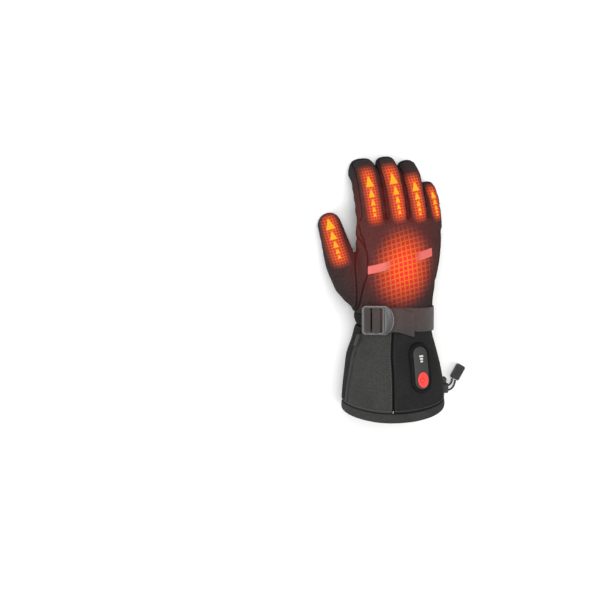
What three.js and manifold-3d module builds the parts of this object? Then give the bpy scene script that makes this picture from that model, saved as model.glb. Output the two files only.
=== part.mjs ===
// A right-hand heated glove, lying palm down. Millimetres, +Z up, +Y to the fingertips,
// +X to the little finger's side. Every cloth piece is a padded wall round one hollow that opens at the cuff.
import * as THREE from "three";
import { mergeVertices } from "three/addons/utils/BufferGeometryUtils.js";
import Module from "manifold-3d";

const wasm = await Module();
wasm.setup();

// Where the glove's own frame stands, so that the middle of its footprint is the origin
const standAt = new THREE.Vector3(8.65, -2.35, 0);

// Walls and gaps
const padWall = 3.6;
const cuffWall = 3.0;
const seamGap = 0.36;
const clearance = 0.32;

// Hand
const wristSeamY = -42;
const wristBandLength = 16;
const handLength = 128;
const wristWidth = 95;
const palmWidth = 109;
const palmTop = 61;
const knuckleDrop = 6.5;
const trunkSquareness = 2.4;

// Cuff and hem
const cuffLength = 93.5;
const hemWidth = 126.5;
const hemHeight = 82;
const hemBow = 8;
const hemBand = 11.5;
const hemWall = 4.4;
const hemBulge = 0.2;
const floorPress = 1.8;

// Gathers of the elastic band, on its palm side
const gatherCount = 13;
const gatherDepth = 1.1;

// Fingers: x and width are shares of the palm's width, z and depth of its top height, reach of the longest
const fingerSquareness = 2.6;
const fingerTaper = 0.97;
const longestReach = 60;
const fingerRows = {
  index: { x: -0.2257, z: 0.549, reach: 0.958, width: 0.299, depth: 0.4836, tipX: -0.2697, tipZ: 0.2066 },
  middle: { x: 0.055, z: 0.582, reach: 1, width: 0.242, depth: 0.4754, tipX: 0.0018, tipZ: 0.2066 },
  ring: { x: 0.3046, z: 0.5246, reach: 0.917, width: 0.2367, depth: 0.459, tipX: 0.2495, tipZ: 0.2 },
  pinky: { x: 0.522, z: 0.3934, reach: 0.517, width: 0.1853, depth: 0.3934, tipX: 0.49, tipZ: 0.1803 },
};
// The curl of a finger: share of its reach, share of its drop from the root's height to the tip's
const curlRows = [
  { reach: -0.45, drop: -0.05 },
  { reach: -0.1, drop: -0.02 },
  { reach: 0.22, drop: 0.04 },
  { reach: 0.5, drop: 0.15 },
  { reach: 0.74, drop: 0.34 },
  { reach: 0.91, drop: 0.62 },
  { reach: 1, drop: 1 },
];

// Thumb: its root is shares of the palm's width, the hand's length and the palm's top height. Each row of
// its way out of the palm is a share of its length, spread, drop, width and depth.
const thumbLength = 124;
const thumbSpread = 49;
const thumbRoot = { x: -0.202, y: -0.0156, z: 0.508 };
const thumbDrop = 16.5;
const thumbWidth = 44;
const thumbDepth = 43;
const thumbRows = [
  { along: 0, out: 0, drop: 0, width: 0.5, depth: 0.72 },
  { along: 0.23, out: 0.24, drop: 0.02, width: 0.66, depth: 0.86 },
  { along: 0.435, out: 0.52, drop: 0.26, width: 0.93, depth: 0.92 },
  { along: 0.635, out: 0.75, drop: 0.55, width: 0.85, depth: 0.82 },
  { along: 0.855, out: 0.9, drop: 0.86, width: 0.7, depth: 0.68 },
  { along: 1, out: 1, drop: 1, width: 0.63, depth: 0.64 },
];

// Sections of the hand from the wrist seam to the finger crotches, and of the cuff from there to the hem.
// Width is a share of the way from the wrist's width to the palm's or the hem's, the rest are shares of
// the width, the top height and the knuckle drop that they follow.
const handRows = [
  { along: 0, width: 0, centre: 0.05, top: 0.98, bottom: 0.05, lean: 0 },
  { along: 0.09, width: 0.2, centre: 0.04, top: 0.985, bottom: 0.05, lean: 0 },
  { along: 0.17, width: -0.05, centre: 0.045, top: 0.985, bottom: 0.06, lean: 0 },
  { along: 0.33, width: 0.16, centre: 0.06, top: 1, bottom: 0.05, lean: 0.1 },
  { along: 0.46, width: 0.42, centre: 0.075, top: 1, bottom: 0.06, lean: 0.3 },
  { along: 0.62, width: 0.78, centre: 0.09, top: 0.985, bottom: 0.09, lean: 0.55 },
  { along: 0.8, width: 0.96, centre: 0.098, top: 0.94, bottom: 0.14, lean: 0.85 },
  { along: 0.92, width: 0.95, centre: 0.1, top: 0.87, bottom: 0.21, lean: 1 },
  { along: 0.975, width: 0.8, centre: 0.1, top: 0.8, bottom: 0.29, lean: 1 },
  { along: 1, width: 0.5, centre: 0.1, top: 0.72, bottom: 0.36, lean: 1 },
];
const cuffRows = [
  { along: 0, width: 0, centre: 0.04, height: 0, bottom: 1 },
  { along: 0.17, width: 0.16, centre: 0.026, height: 0.12, bottom: 0.4 },
  { along: 0.36, width: 0.5, centre: 0.014, height: 0.42, bottom: 0 },
  { along: 0.54, width: 0.72, centre: 0.016, height: 0.66, bottom: 0 },
  { along: 0.77, width: 0.91, centre: 0.014, height: 0.87, bottom: 0 },
  { along: 1, width: 1, centre: 0.01, height: 1, bottom: 0 },
];

// Seams round a section, in degrees from the little finger's side over the back
const backSeam = { outer: 28, thumb: 146 };
const palmSeam = { outer: -30, thumb: 214 };
const fingerBackSeam = { from: 38, to: 142 };
const fingerFrontSeam = { from: -142, to: -38 };
const cuffSeam = { centre: 98.5, zipTop: 156, zipHem: 172, side: -36 };
// Seams seen in plan on the thumb's side, from its crotch down to the wrist: shares of that way and of the
// palm's width. Past the crotch, ahead is a share of the thumb's length.
const thumbSeamRows = [
  { down: 0, inner: -0.327, outer: -0.399, palm: -0.367 },
  { down: 0.15, inner: -0.316, outer: -0.415, palm: -0.345 },
  { down: 0.35, inner: -0.317, outer: -0.427, palm: -0.329 },
  { down: 0.6, inner: -0.358, outer: -0.426, palm: -0.3165 },
  { down: 0.82, inner: -0.394, outer: -0.4275, palm: -0.31 },
  { down: 1, inner: -0.427, outer: -0.431, palm: -0.306 },
];
const thumbAheadRows = [
  { ahead: 0, out: -0.404 },
  { ahead: 0.121, out: -0.436 },
  { ahead: 0.266, out: -0.477 },
  { ahead: 0.637, out: -0.55 },
];
// The thumb's crotch and the two cross seams of the palm, as shares of the hand's length
const crotchShare = 0.727;
const gripTop = { share: 0.672, slope: -0.12 };
const gripBottom = { share: 0.359, slope: 0.16 };

// Wrist strap and its buckle
const webWidth = 29;
const webThickness = 1.4;
const strapY = -32;
const strapFall = 0.085;
const tailFall = 0.17;
const tailX = 19.5;
const strapEndAngle = -58;
const buckleX = -26.5;
const buckleTilt = 20;
const buckleLength = 26.8;
const buckleWidth = 34.8;
const buckleThickness = 3;
const buckleSlots = [
  { from: 2.2, to: 4.5 },
  { from: 7.6, to: 13.2 },
  { from: 18.6, to: 24 },
];
const tongueReach = 10.6;
const tongueWidth = 27;
const buckleCorner = 4;
const buckleBevel = 0.7;
const anchorReach = 1.5;
const strapReachY = 18;
const keeperWidth = 11;
const keeperThickness = 1.2;
const keeperLength = 38;
const keeperAngle = -38;

// Control panel on the cuff
const panelX = 25;
const panelY = -91;
const panelWidth = 18;
const panelLength = 50;
const panelThickness = 2.8;
const panelCrown = 0.5;
const ridgeWidth = 4.2;
const ridgeHeight = 3.9;
const buttonWidth = 13.2;
const buttonLength = 18.6;
const buttonOffset = -13.4;
const buttonHeight = 1.5;
const ledWidths = [4.8, 3.9, 3];
const ledHeight = 2;
const ledPitch = 3;
const ledOffset = 14;
const ledLift = 0.5;

// Ribbon across the back, zip and its tab
const ribbonWidth = 10;
const ribbonThickness = 0.7;
const ribbonFrom = { x: -33.6, y: 27.4 };
const ribbonTo = { x: 45, y: 46 };
const zipWidth = 5;
const zipThickness = 0.9;
const pullWidth = 5.4;
const pullLength = 13;
const pullThickness = 1.6;
const zipStart = 9;
const zipEndGap = 2;

// Drawcord: two strands out of the hem, through the lock and into the pull tab
const cordDiameter = 2.6;
const cordSides = 8;
const cordSteps = 9;
const cordTabSize = { width: 7, length: 13, thickness: 2.6 };
const lockSize = { x: 11, y: 13, z: 9 };
const lockSpread = 6.4;
const lockAt = { x: 81, y: -137.5, z: 4.9 };
const plungerRadius = 4;
const plungerLength = 8.6;
const pullTabSize = { x: 12.5, y: 20, z: 4.2 };
const pullTabAt = { x: 100.7, y: -117.5, z: 4.6 };
const pullTabTurn = -30;
const cordRoutes = {
  drawcord_front: [
    [57.2, -136, 10.2], [59.4, -136.4, 8.6], [62, -137.2, 6.9], [65.4, -138.6, 5.6], [69, -139.8, 5],
    [72.6, -140.5, 4.9], [76, -140.7, 4.9], [81, -140.7, 4.9], [86, -140.7, 4.9], [88.4, -140.5, 4.9],
    [90.8, -139.9, 4.8], [93, -138.5, 4.7], [94.8, -136.4, 4.6], [96.1, -133.7, 4.6], [96.9, -130.8, 4.6],
    [97.5, -128.2, 4.6],
  ],
  drawcord_back: [
    [57.2, -130, 10.2], [59.4, -130.4, 8.6], [62, -131.2, 6.9], [65.4, -132.5, 5.6], [69, -133.5, 5],
    [72.6, -134.1, 4.9], [76, -134.3, 4.9], [81, -134.3, 4.9], [86, -134.3, 4.9], [88.3, -134.1, 4.9],
    [90.2, -133.3, 4.8], [91.6, -131.9, 4.7], [92.5, -130, 4.6], [93, -127.9, 4.6], [93.3, -125.8, 4.6],
  ],
};

const degrees = Math.PI / 180;
const xAxis = new THREE.Vector3(1, 0, 0);
const yAxis = new THREE.Vector3(0, 1, 0);
const zAxis = new THREE.Vector3(0, 0, 1);

// Smooth value of one column of a table at a share along it
function column(rows, along, key) {
  let i = 0;
  while (i < rows.length - 2 && rows[i + 1].along < along) i += 1;
  const a = rows[i];
  const b = rows[i + 1];
  const before = rows[Math.max(i - 1, 0)];
  const after = rows[Math.min(i + 2, rows.length - 1)];
  const span = b.along - a.along;
  const t = (along - a.along) / span;
  const slopeA = ((b[key] - before[key]) / (b.along - before.along)) * span;
  const slopeB = ((after[key] - a[key]) / (after.along - a.along)) * span;
  const t2 = t * t;
  const t3 = t2 * t;
  return (2 * t3 - 3 * t2 + 1) * a[key] + (t3 - 2 * t2 + t) * slopeA
    + (3 * t2 - 2 * t3) * b[key] + (t3 - t2) * slopeB;
}

// One section of the hand or the cuff at a distance along the glove
function sectionAt(y) {
  if (y >= wristSeamY) {
    const along = Math.min((y - wristSeamY) / handLength, 1);
    const width = wristWidth + (palmWidth - wristWidth) * column(handRows, along, "width");
    return {
      y,
      half: width / 2,
      x: palmWidth * column(handRows, along, "centre"),
      top: palmTop * column(handRows, along, "top"),
      bottom: palmTop * column(handRows, along, "bottom"),
      lean: knuckleDrop * column(handRows, along, "lean"),
      bow: 0,
    };
  }
  const along = (wristSeamY - y) / cuffLength;
  const wristTop = palmTop * handRows[0].top;
  const share = Math.min(along, 1);
  const bottom = Math.max(column(cuffRows, share, "bottom"), 0);
  return {
    y,
    half: (wristWidth + (hemWidth - wristWidth) * column(cuffRows, share, "width")) / 2,
    x: hemWidth * column(cuffRows, share, "centre"),
    top: wristTop + (hemHeight - wristTop) * column(cuffRows, share, "height"),
    bottom: palmTop * handRows[0].bottom * bottom - floorPress * (1 - bottom),
    lean: 0,
    bow: hemBow * share * share,
  };
}

function signedPower(value, power) {
  return Math.sign(value) * Math.abs(value) ** power;
}

// A point of a section at an angle, grown outwards by a distance. Nothing reaches below the floor.
function sectionPoint(section, angle, grow, floor = 0) {
  const power = 2 / trunkSquareness;
  const half = section.half + grow;
  const height = (section.top - section.bottom) / 2 + grow;
  const middle = (section.top + section.bottom) / 2;
  const across = signedPower(Math.cos(angle), power);
  const x = section.x + half * across;
  const z = middle + height * signedPower(Math.sin(angle), power) - section.lean * across;
  const y = section.y - section.bow * (1 - across * across);
  return new THREE.Vector3(x, y, Math.max(z, floor));
}

// Turns lists of rings into one closed body: sides between them and a cap at each end. A ring that is
// the two sides of a thin strip has a cap of quads, any other a fan.
function loft(rings, strip = false) {
  const count = rings[0].length;
  const positions = rings.flat();
  const index = [];
  for (let r = 0; r < rings.length - 1; r += 1) {
    for (let i = 0; i < count; i += 1) {
      const j = (i + 1) % count;
      const a = r * count + i;
      const b = r * count + j;
      index.push(a, b, b + count, a, b + count, a + count);
    }
  }
  const turned = (a, b, c, flip) => (flip ? index.push(a, c, b) : index.push(a, b, c));
  const capEnd = (ring, first, flip) => {
    if (strip) {
      for (let i = 0; i < count / 2 - 1; i += 1) {
        const [a, b, c, d] = [i, i + 1, count - 2 - i, count - 1 - i].map((k) => first + k);
        turned(a, b, c, flip);
        turned(a, c, d, flip);
      }
      return;
    }
    positions.push(ring.reduce((sum, p) => sum.add(p), new THREE.Vector3()).divideScalar(count));
    const middle = positions.length - 1;
    for (let i = 0; i < count; i += 1) turned(middle, first + i, first + ((i + 1) % count), flip);
  };
  capEnd(rings[0], 0, true);
  capEnd(rings[rings.length - 1], (rings.length - 1) * count, false);
  return closedGeometry(positions, index);
}

// A body from rings that close on each other, such as a band or a frame
function torusLoft(rings) {
  const count = rings[0].length;
  const index = [];
  for (let r = 0; r < rings.length; r += 1) {
    const next = (r + 1) % rings.length;
    for (let i = 0; i < count; i += 1) {
      const j = (i + 1) % count;
      const a = r * count + i;
      const b = r * count + j;
      const c = next * count + j;
      const d = next * count + i;
      index.push(a, b, c, a, c, d);
    }
  }
  return closedGeometry(rings.flat(), index);
}

// Geometry with its faces outwards: a body that comes out inside out is turned
function closedGeometry(positions, index) {
  const geometry = new THREE.BufferGeometry();
  geometry.setAttribute("position", new THREE.Float32BufferAttribute(positions.flatMap((p) => p.toArray()), 3));
  let volume = 0;
  for (let t = 0; t < index.length; t += 3) {
    const [a, b, c] = [positions[index[t]], positions[index[t + 1]], positions[index[t + 2]]];
    volume += a.dot(new THREE.Vector3().crossVectors(b, c));
  }
  if (volume < 0) {
    for (let t = 0; t < index.length; t += 3) [index[t + 1], index[t + 2]] = [index[t + 2], index[t + 1]];
  }
  geometry.setIndex(index);
  return geometry;
}

// To and from a solid that can be cut and joined
function toSolid(source) {
  const bare = source.clone();
  bare.deleteAttribute("normal");
  bare.deleteAttribute("uv");
  const geometry = mergeVertices(bare, 1e-4);
  const mesh = new wasm.Mesh({
    numProp: 3,
    vertProperties: Float32Array.from(geometry.attributes.position.array),
    triVerts: Uint32Array.from(geometry.index.array),
  });
  return new wasm.Manifold(mesh);
}

function fromSolid(solid) {
  const mesh = solid.getMesh();
  const geometry = new THREE.BufferGeometry();
  geometry.setAttribute("position", new THREE.Float32BufferAttribute(mesh.vertProperties, 3));
  geometry.setIndex(Array.from(mesh.triVerts));
  return geometry;
}

function join(solids) {
  return solids.reduce((sum, solid) => sum.add(solid));
}

// Upright prism over an outline in plan
function prism(points, bottom, top) {
  const shape = new THREE.Shape(points.map(([x, y]) => new THREE.Vector2(x, y)));
  const geometry = new THREE.ExtrudeGeometry(shape, { depth: top - bottom, bevelEnabled: false });
  geometry.translate(0, 0, bottom);
  return toSolid(geometry);
}

// Hand: the trunk from the wrist band to the crotches
const handEndY = wristSeamY + wristBandLength + seamGap;
const crotchesY = wristSeamY + handLength;
const trunkSides = 26;
const trunkYs = [handEndY, -14, 4, 22, 40, 58, 70, 79, crotchesY - 2.4, crotchesY];

function trunkRing(y, grow, floor) {
  const ring = [];
  for (let i = 0; i < trunkSides; i += 1) {
    ring.push(sectionPoint(sectionAt(y), (i / trunkSides) * 2 * Math.PI, grow, floor));
  }
  return ring;
}

const trunkOuter = toSolid(loft(trunkYs.map((y) => trunkRing(y, 0, 0))));
const trunkInner = toSolid(loft([
  trunkRing(handEndY, -padWall, padWall).map((p) => p.setY(handEndY - 1)),
  ...trunkYs.slice(0, -2).map((y) => trunkRing(y, -padWall, padWall)),
  trunkRing(crotchesY - padWall, -padWall - 1, padWall),
]));

// A bent tube through stations, closed by a dome. Each station: point, width and depth.
function frames(stations) {
  const curve = new THREE.CatmullRomCurve3(stations.map((s) => s.point), false, "centripetal");
  return stations.map((station, i) => {
    const tangent = curve.getTangent(i / (stations.length - 1));
    const side = new THREE.Vector3().crossVectors(tangent, zAxis).normalize();
    const up = new THREE.Vector3().crossVectors(side, tangent).normalize();
    return { ...station, tangent, side, up };
  });
}

const domeSteps = [32, 62];

function tubeRing(frame, grow, sides, shrink, ahead, floor) {
  const power = 2 / fingerSquareness;
  const centre = frame.point.clone().addScaledVector(frame.tangent, ahead);
  const ring = [];
  for (let i = 0; i < sides; i += 1) {
    const angle = ((i + 0.5) / sides) * 2 * Math.PI;
    const across = (frame.width / 2 + grow) * shrink * signedPower(Math.cos(angle), power);
    const rise = (frame.depth / 2 + grow) * shrink * signedPower(Math.sin(angle), power);
    const point = centre.clone().addScaledVector(frame.side, across).addScaledVector(frame.up, rise);
    ring.push(point.setZ(Math.max(point.z, floor)));
  }
  return ring;
}

function tube(stations, grow, sides, floor) {
  const list = frames(stations);
  const last = list[list.length - 1];
  const rings = list.map((frame) => tubeRing(frame, grow, sides, 1, 0, floor));
  const reach = last.depth / 2 + grow;
  for (const step of domeSteps) {
    const angle = step * degrees;
    rings.push(tubeRing(last, grow, sides, Math.cos(angle), reach * Math.sin(angle), floor));
  }
  return toSolid(loft(rings));
}

function fingerStations(finger) {
  return curlRows.map((row) => {
    const share = Math.max(row.reach, 0);
    const taper = 1 - (1 - fingerTaper) * share;
    return {
      point: new THREE.Vector3(
        finger.x + (finger.tipX - finger.x) * share,
        crotchesY + finger.reach * row.reach,
        finger.z + (finger.tipZ - finger.z) * row.drop,
      ),
      width: finger.width * taper,
      depth: finger.depth * taper,
    };
  });
}

const thumbStations = thumbRows.map((row) => ({
  point: new THREE.Vector3(
    palmWidth * thumbRoot.x - thumbSpread * row.out,
    wristSeamY + handLength * thumbRoot.y + thumbLength * row.along,
    palmTop * thumbRoot.z - thumbDrop * row.drop,
  ),
  width: thumbWidth * row.width,
  depth: thumbDepth * row.depth,
}));

const fingerSides = 10;
const thumbSides = 14;
const fingerNames = Object.keys(fingerRows);
const fingers = Object.fromEntries(Object.entries(fingerRows).map(([name, row]) => [name, {
  x: palmWidth * row.x,
  tipX: palmWidth * row.tipX,
  width: palmWidth * row.width,
  z: palmTop * row.z,
  tipZ: palmTop * row.tipZ,
  depth: palmTop * row.depth,
  reach: longestReach * row.reach,
}]));
const fingerLines = fingerNames.map((name) => fingerStations(fingers[name]));

const handOuter = join([
  trunkOuter,
  ...fingerLines.map((line) => tube(line, 0, fingerSides, 0)),
  tube(thumbStations, 0, thumbSides, 0),
]);
const handInner = join([
  trunkInner,
  ...fingerLines.map((line) => tube(line, -padWall, fingerSides, padWall)),
  tube(thumbStations, -padWall, thumbSides, padWall),
]);
const behindHand = prism([[-200, -200], [200, -200], [200, handEndY], [-200, handEndY]], -50, 150);
const handShell = handOuter.subtract(handInner).subtract(behindHand);

// Wedge of the trunk between two angles, from its middle line outwards
function trunkWedge(from, to, ys) {
  const steps = Math.max(3, Math.ceil((to - from) / 22));
  return toSolid(loft(ys.map((y) => {
    const section = sectionAt(y);
    const middle = new THREE.Vector3(section.x, y, (section.top + section.bottom) / 2);
    const ring = [middle];
    for (let i = 0; i <= steps; i += 1) {
      const point = sectionPoint(section, (from + ((to - from) * i) / steps) * degrees, 0, -50);
      ring.push(middle.clone().lerp(point, 1.8).setY(y));
    }
    return ring;
  })));
}

// Wedge of a finger or the thumb between two angles, between two of its stations
function tubeWedge(stations, from, to, first, last, ahead, spread = 1.15) {
  const list = frames(stations).slice(first, last + 1);
  const steps = Math.ceil((to - from) / 20);
  const power = 2 / fingerSquareness;
  const slice = (frame, shift) => {
    const centre = frame.point.clone().addScaledVector(frame.tangent, shift);
    const ring = [centre];
    for (let i = 0; i <= steps; i += 1) {
      const angle = (from + ((to - from) * i) / steps) * degrees;
      ring.push(centre.clone()
        .addScaledVector(frame.side, spread * (frame.width / 2) * signedPower(Math.cos(angle), power))
        .addScaledVector(frame.up, spread * (frame.depth / 2) * signedPower(Math.sin(angle), power)));
    }
    return ring;
  };
  const rings = list.map((frame) => slice(frame, 0));
  if (ahead > 0) rings.push(slice(list[list.length - 1], ahead));
  return toSolid(loft(rings));
}

// Angle that opens a seam's gap between two wedges of a round of the given radius
function gapAngle(radius) {
  return (seamGap / radius / degrees);
}

const trunkGap = gapAngle(24);
const fingerGap = gapAngle(9);
const seamEndY = crotchesY + 0.6;
const crotchY = wristSeamY + handLength * crotchShare;
const lowYs = [-0.05, 0.2, 0.46, 0.73, 1].map((share) => THREE.MathUtils.lerp(handEndY, crotchY, share));
const highYs = [0, 0.43, 0.77, 1].map((share) => THREE.MathUtils.lerp(crotchY, seamEndY, share));
const far = 200;

// One of the thumb's seams as points in plan from its crotch to the wrist
function thumbSeam(key) {
  return thumbSeamRows.map((row) => [
    palmWidth * row[key],
    THREE.MathUtils.lerp(crotchY, handEndY - 2, row.down),
  ]);
}

// Everything to the left of a line of points in plan, moved sideways by a distance
function leftOf(points, move, top, bottom) {
  const line = points.map(([x, y]) => [x + move, y]);
  const start = line[0];
  const end = line[line.length - 1];
  return prism([[-far, start[1]], ...line, [end[0], -far], [-far, -far]], bottom, top);
}

// Thumb region reaches ahead of the crotch only where the thumb itself is
function aheadOfCrotch(move) {
  const line = thumbAheadRows.map((row) => [
    palmWidth * row.out + move,
    crotchY + thumbLength * row.ahead - (row.ahead ? 0 : 0.1 + move),
  ]);
  const endY = line[line.length - 1][1];
  return prism([[-far, line[0][1]], ...line, [-far, endY]], -20, 100);
}
const thumbAhead = aheadOfCrotch(0);
const thumbAheadWide = aheadOfCrotch(seamGap);
const outerThumb = leftOf(thumbSeam("outer"), 0, 100, -20).add(thumbAhead);
const outerThumbWide = leftOf(thumbSeam("outer"), seamGap, 100, -20).add(thumbAheadWide);
const gussetSide = leftOf(thumbSeam("inner"), 0, 100, -20).add(thumbAhead);
const gussetSideWide = leftOf(thumbSeam("inner"), seamGap, 100, -20).add(thumbAheadWide);
const palmSide = leftOf(thumbSeam("palm"), 0, 100, -20).add(thumbAhead);
const palmSideWide = leftOf(thumbSeam("palm"), seamGap, 100, -20).add(thumbAheadWide);

// Upper and lower half of the thumb's side of the hand
const thumbLast = thumbStations.length - 1;
const thumbLowerReach = tubeWedge(thumbStations, -164, 8 - fingerGap, 0, thumbLast, 4, 3);
const thumbLowerWide = tubeWedge(thumbStations, -164 - fingerGap, 8, 0, thumbLast, 4 + seamGap, 3)
  .add(thumbLowerReach);

const backWedges = join([
  trunkWedge(backSeam.outer, 180, lowYs),
  trunkWedge(backSeam.outer, backSeam.thumb, highYs),
  ...fingerLines.map((line) => tubeWedge(line, fingerBackSeam.from, fingerBackSeam.to, 1, 5, 2)),
]);
const backWedgesWide = join([
  backWedges,
  trunkWedge(backSeam.outer - trunkGap, 180, lowYs),
  trunkWedge(backSeam.outer - trunkGap, backSeam.thumb + trunkGap, highYs),
  ...fingerLines.map((line) => tubeWedge(
    line, fingerBackSeam.from - fingerGap, fingerBackSeam.to + fingerGap, 1, 5, 2 + seamGap,
  )),
]);
const frontWedges = join([
  trunkWedge(180 + trunkGap, 360 + palmSeam.outer, lowYs),
  trunkWedge(palmSeam.thumb, 360 + palmSeam.outer, highYs),
  ...fingerLines.map((line) => tubeWedge(line, fingerFrontSeam.from, fingerFrontSeam.to, 1, 5, 3)),
]);
const frontWedgesWide = join([
  frontWedges,
  trunkWedge(180, 360 + palmSeam.outer + trunkGap, lowYs),
  trunkWedge(palmSeam.thumb - trunkGap, 360 + palmSeam.outer + trunkGap, highYs),
  ...fingerLines.map((line) => tubeWedge(
    line, fingerFrontSeam.from - fingerGap, fingerFrontSeam.to + fingerGap, 1, 5, 3 + seamGap,
  )),
]);

const backShell = handShell.intersect(backWedges).subtract(gussetSideWide);
const sideShell = handShell.subtract(backWedgesWide).subtract(frontWedgesWide);
const frontShell = handShell.intersect(frontWedges).subtract(backWedgesWide).subtract(palmSideWide)
  .subtract(gussetSideWide.subtract(thumbLowerReach));

const nodes = {};
nodes.hand_back = backShell;
nodes.thumb_gusset = handShell.intersect(gussetSide).subtract(outerThumbWide).subtract(thumbLowerWide);
nodes.thumb_back = handShell.intersect(outerThumb).subtract(thumbLowerWide);
nodes.thumb_front = handShell.intersect(palmSide).intersect(thumbLowerReach);

// The palm's three panels, cut across by the grip panel's two slanted seams
function below(seam, move) {
  const y = wristSeamY + handLength * seam.share + move;
  const rise = seam.slope * far;
  return prism([[-far, y - rise], [far, y + rise], [far, -far], [-far, -far]], -20, 100);
}
const belowGripTop = below(gripTop, 0);
const belowGripTopWide = below(gripTop, seamGap);
const belowGripBottom = below(gripBottom, 0);
const belowGripBottomWide = below(gripBottom, seamGap);
nodes.finger_fronts = frontShell.subtract(belowGripTopWide);
nodes.palm_grip = frontShell.intersect(belowGripTop).subtract(belowGripBottomWide);
nodes.palm_heel = frontShell.intersect(belowGripBottom);

// Finger side panels, told apart by lines in plan between the fingers
function between(left, right) {
  const line = (name, side, y) => {
    const finger = fingers[name];
    const share = (y - crotchesY) / finger.reach;
    return finger.x + (finger.tipX - finger.x) * share + (side * finger.width) / 2;
  };
  return (y) => (line(left, 1, y) + line(right, -1, y)) / 2;
}
const dividers = [between("index", "middle"), between("middle", "ring"), between("ring", "pinky")];
const endY = crotchesY + 120;
fingerNames.forEach((name, i) => {
  const left = i === 0 ? () => -far : dividers[i - 1];
  const right = i === fingerNames.length - 1 ? () => far : dividers[i];
  const startY = i === 0 ? crotchY + seamGap : seamEndY + seamGap;
  const low = i === fingerNames.length - 1 ? handEndY - 5 : startY;
  const lowLeft = i === fingerNames.length - 1 ? 40 : left(startY);
  const zone = i === fingerNames.length - 1
    ? prism([[left(startY), startY], [lowLeft, startY - 30], [lowLeft - 20, low], [far, low], [far, endY],
      [left(endY), endY]], -20, 100)
    : prism([[left(startY), startY], [right(startY), startY], [right(endY), endY], [left(endY), endY]], -20, 100);
  nodes[`${name}_side`] = sideShell.intersect(zone).subtract(thumbAheadWide);
});

// Wall between two rings of sections, all the way round
function wallRing(ys, inset, gathers) {
  const count = 39;
  const outer = [];
  const inner = [];
  for (const y of ys) {
    const section = sectionAt(y);
    const ringOut = [];
    const ringIn = [];
    for (let i = 0; i < count; i += 1) {
      const angle = (i / count) * 2 * Math.PI;
      const palm = Math.max(0, -Math.sin(angle)) ** 0.5;
      const ripple = gathers * palm * Math.cos(angle * gatherCount * 2);
      ringOut.push(sectionPoint(section, angle, ripple - Math.abs(gathers) * palm, 0));
      ringIn.push(sectionPoint(section, angle, -inset - Math.abs(gathers) * palm, inset));
    }
    outer.push(ringOut);
    inner.push(ringIn);
  }
  return torusLoft([...outer, ...inner.reverse()]);
}

const meshes = {};
meshes.wrist_band = wallRing([wristSeamY + seamGap, wristSeamY + wristBandLength / 2, handEndY - seamGap],
  cuffWall, gatherDepth);

// A panel of the cuff between two seams, each a function of the distance along the glove
function wallPanel(ys, fromAt, toAt, inset, sides) {
  const rings = ys.map((y) => {
    const section = sectionAt(y);
    const edge = (0.7 * seamGap / section.half) / degrees;
    const start = fromAt(y) + edge;
    const stop = toAt(y) - edge;
    const angles = Array.from({ length: sides + 1 }, (_, i) => (start + ((stop - start) * i) / sides) * degrees);
    return [
      ...angles.map((angle) => sectionPoint(section, angle, 0, 0)),
      ...angles.reverse().map((angle) => sectionPoint(section, angle, -inset, inset)),
    ];
  });
  return loft(rings, true);
}

const cuffEndY = wristSeamY - cuffLength;
const cuffSteps = 8;
const cuffYs = Array.from({ length: cuffSteps + 1 }, (_, i) => wristSeamY - (cuffLength * i) / cuffSteps);
const centreSeam = () => cuffSeam.centre;
const sideSeam = () => cuffSeam.side;
const zipSeam = (y) => {
  const share = (wristSeamY - y) / cuffLength;
  return cuffSeam.zipTop + (cuffSeam.zipHem - cuffSeam.zipTop) * share;
};
meshes.cuff_front_right = wallPanel(cuffYs, sideSeam, centreSeam, cuffWall, 11);
meshes.cuff_front_left = wallPanel(cuffYs, centreSeam, zipSeam, cuffWall, 8);
meshes.cuff_palm = wallPanel(cuffYs, zipSeam, (y) => 360 + sideSeam(y), cuffWall, 13);

// Hem: a rounded band, each row a share of its length and wall
const hemRows = [
  { down: 0, out: 0 },
  { down: 0.14, out: 0.8 * hemBulge },
  { down: 0.6, out: hemBulge },
  { down: 0.9, out: 0.04 },
  { down: 1, out: -0.4 },
  { down: 0.9, out: -0.85 },
  { down: 0, out: -0.8 },
];
const hemSides = 32;
const hemSection = sectionAt(cuffEndY);
meshes.hem_band = torusLoft(hemRows.map((row) => {
  const grow = row.out * hemWall;
  return Array.from({ length: hemSides }, (_, i) => {
    const point = sectionPoint(hemSection, (i / hemSides) * 2 * Math.PI, grow, Math.max(0, -grow));
    return point.setY(point.y - seamGap - hemBand * row.down);
  });
}));

// Point on the back of the glove over a place in plan, lifted off the cloth
function backPoint(x, y, lift) {
  let section = sectionAt(y);
  for (let i = 0; i < 4; i += 1) {
    const share = (x - section.x) / section.half;
    section = sectionAt(y + section.bow * (1 - share * share));
  }
  const share = THREE.MathUtils.clamp((x - section.x) / section.half, -1, 1);
  return sectionPoint(section, Math.acos(signedPower(share, trunkSquareness / 2)), lift);
}

// A pad on the back of the glove, from an outline round its middle
function backPad(middle, outline, lift, thickness, crown) {
  const ring = (scale, height) => outline.map(([u, v]) => backPoint(middle.x + u * scale, middle.y + v * scale, height));
  return loft([
    ring(0.5, lift),
    ring(1, lift),
    ring(1, lift + thickness),
    ring(0.5, lift + thickness + crown),
  ]);
}

// Outline of two half rounds and the straights between them
function pill(width, length, turns, straights) {
  const radius = width / 2;
  const run = length / 2 - radius;
  const points = [];
  for (const end of [0, 1]) {
    const side = end ? -1 : 1;
    for (let i = 0; i <= turns; i += 1) {
      const angle = (end + i / turns) * Math.PI;
      points.push([radius * Math.cos(angle), radius * Math.sin(angle) + side * run]);
    }
    for (let i = 1; i < straights; i += 1) {
      points.push([-side * radius, side * run * (1 - (2 * i) / straights)]);
    }
  }
  return points;
}

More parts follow.
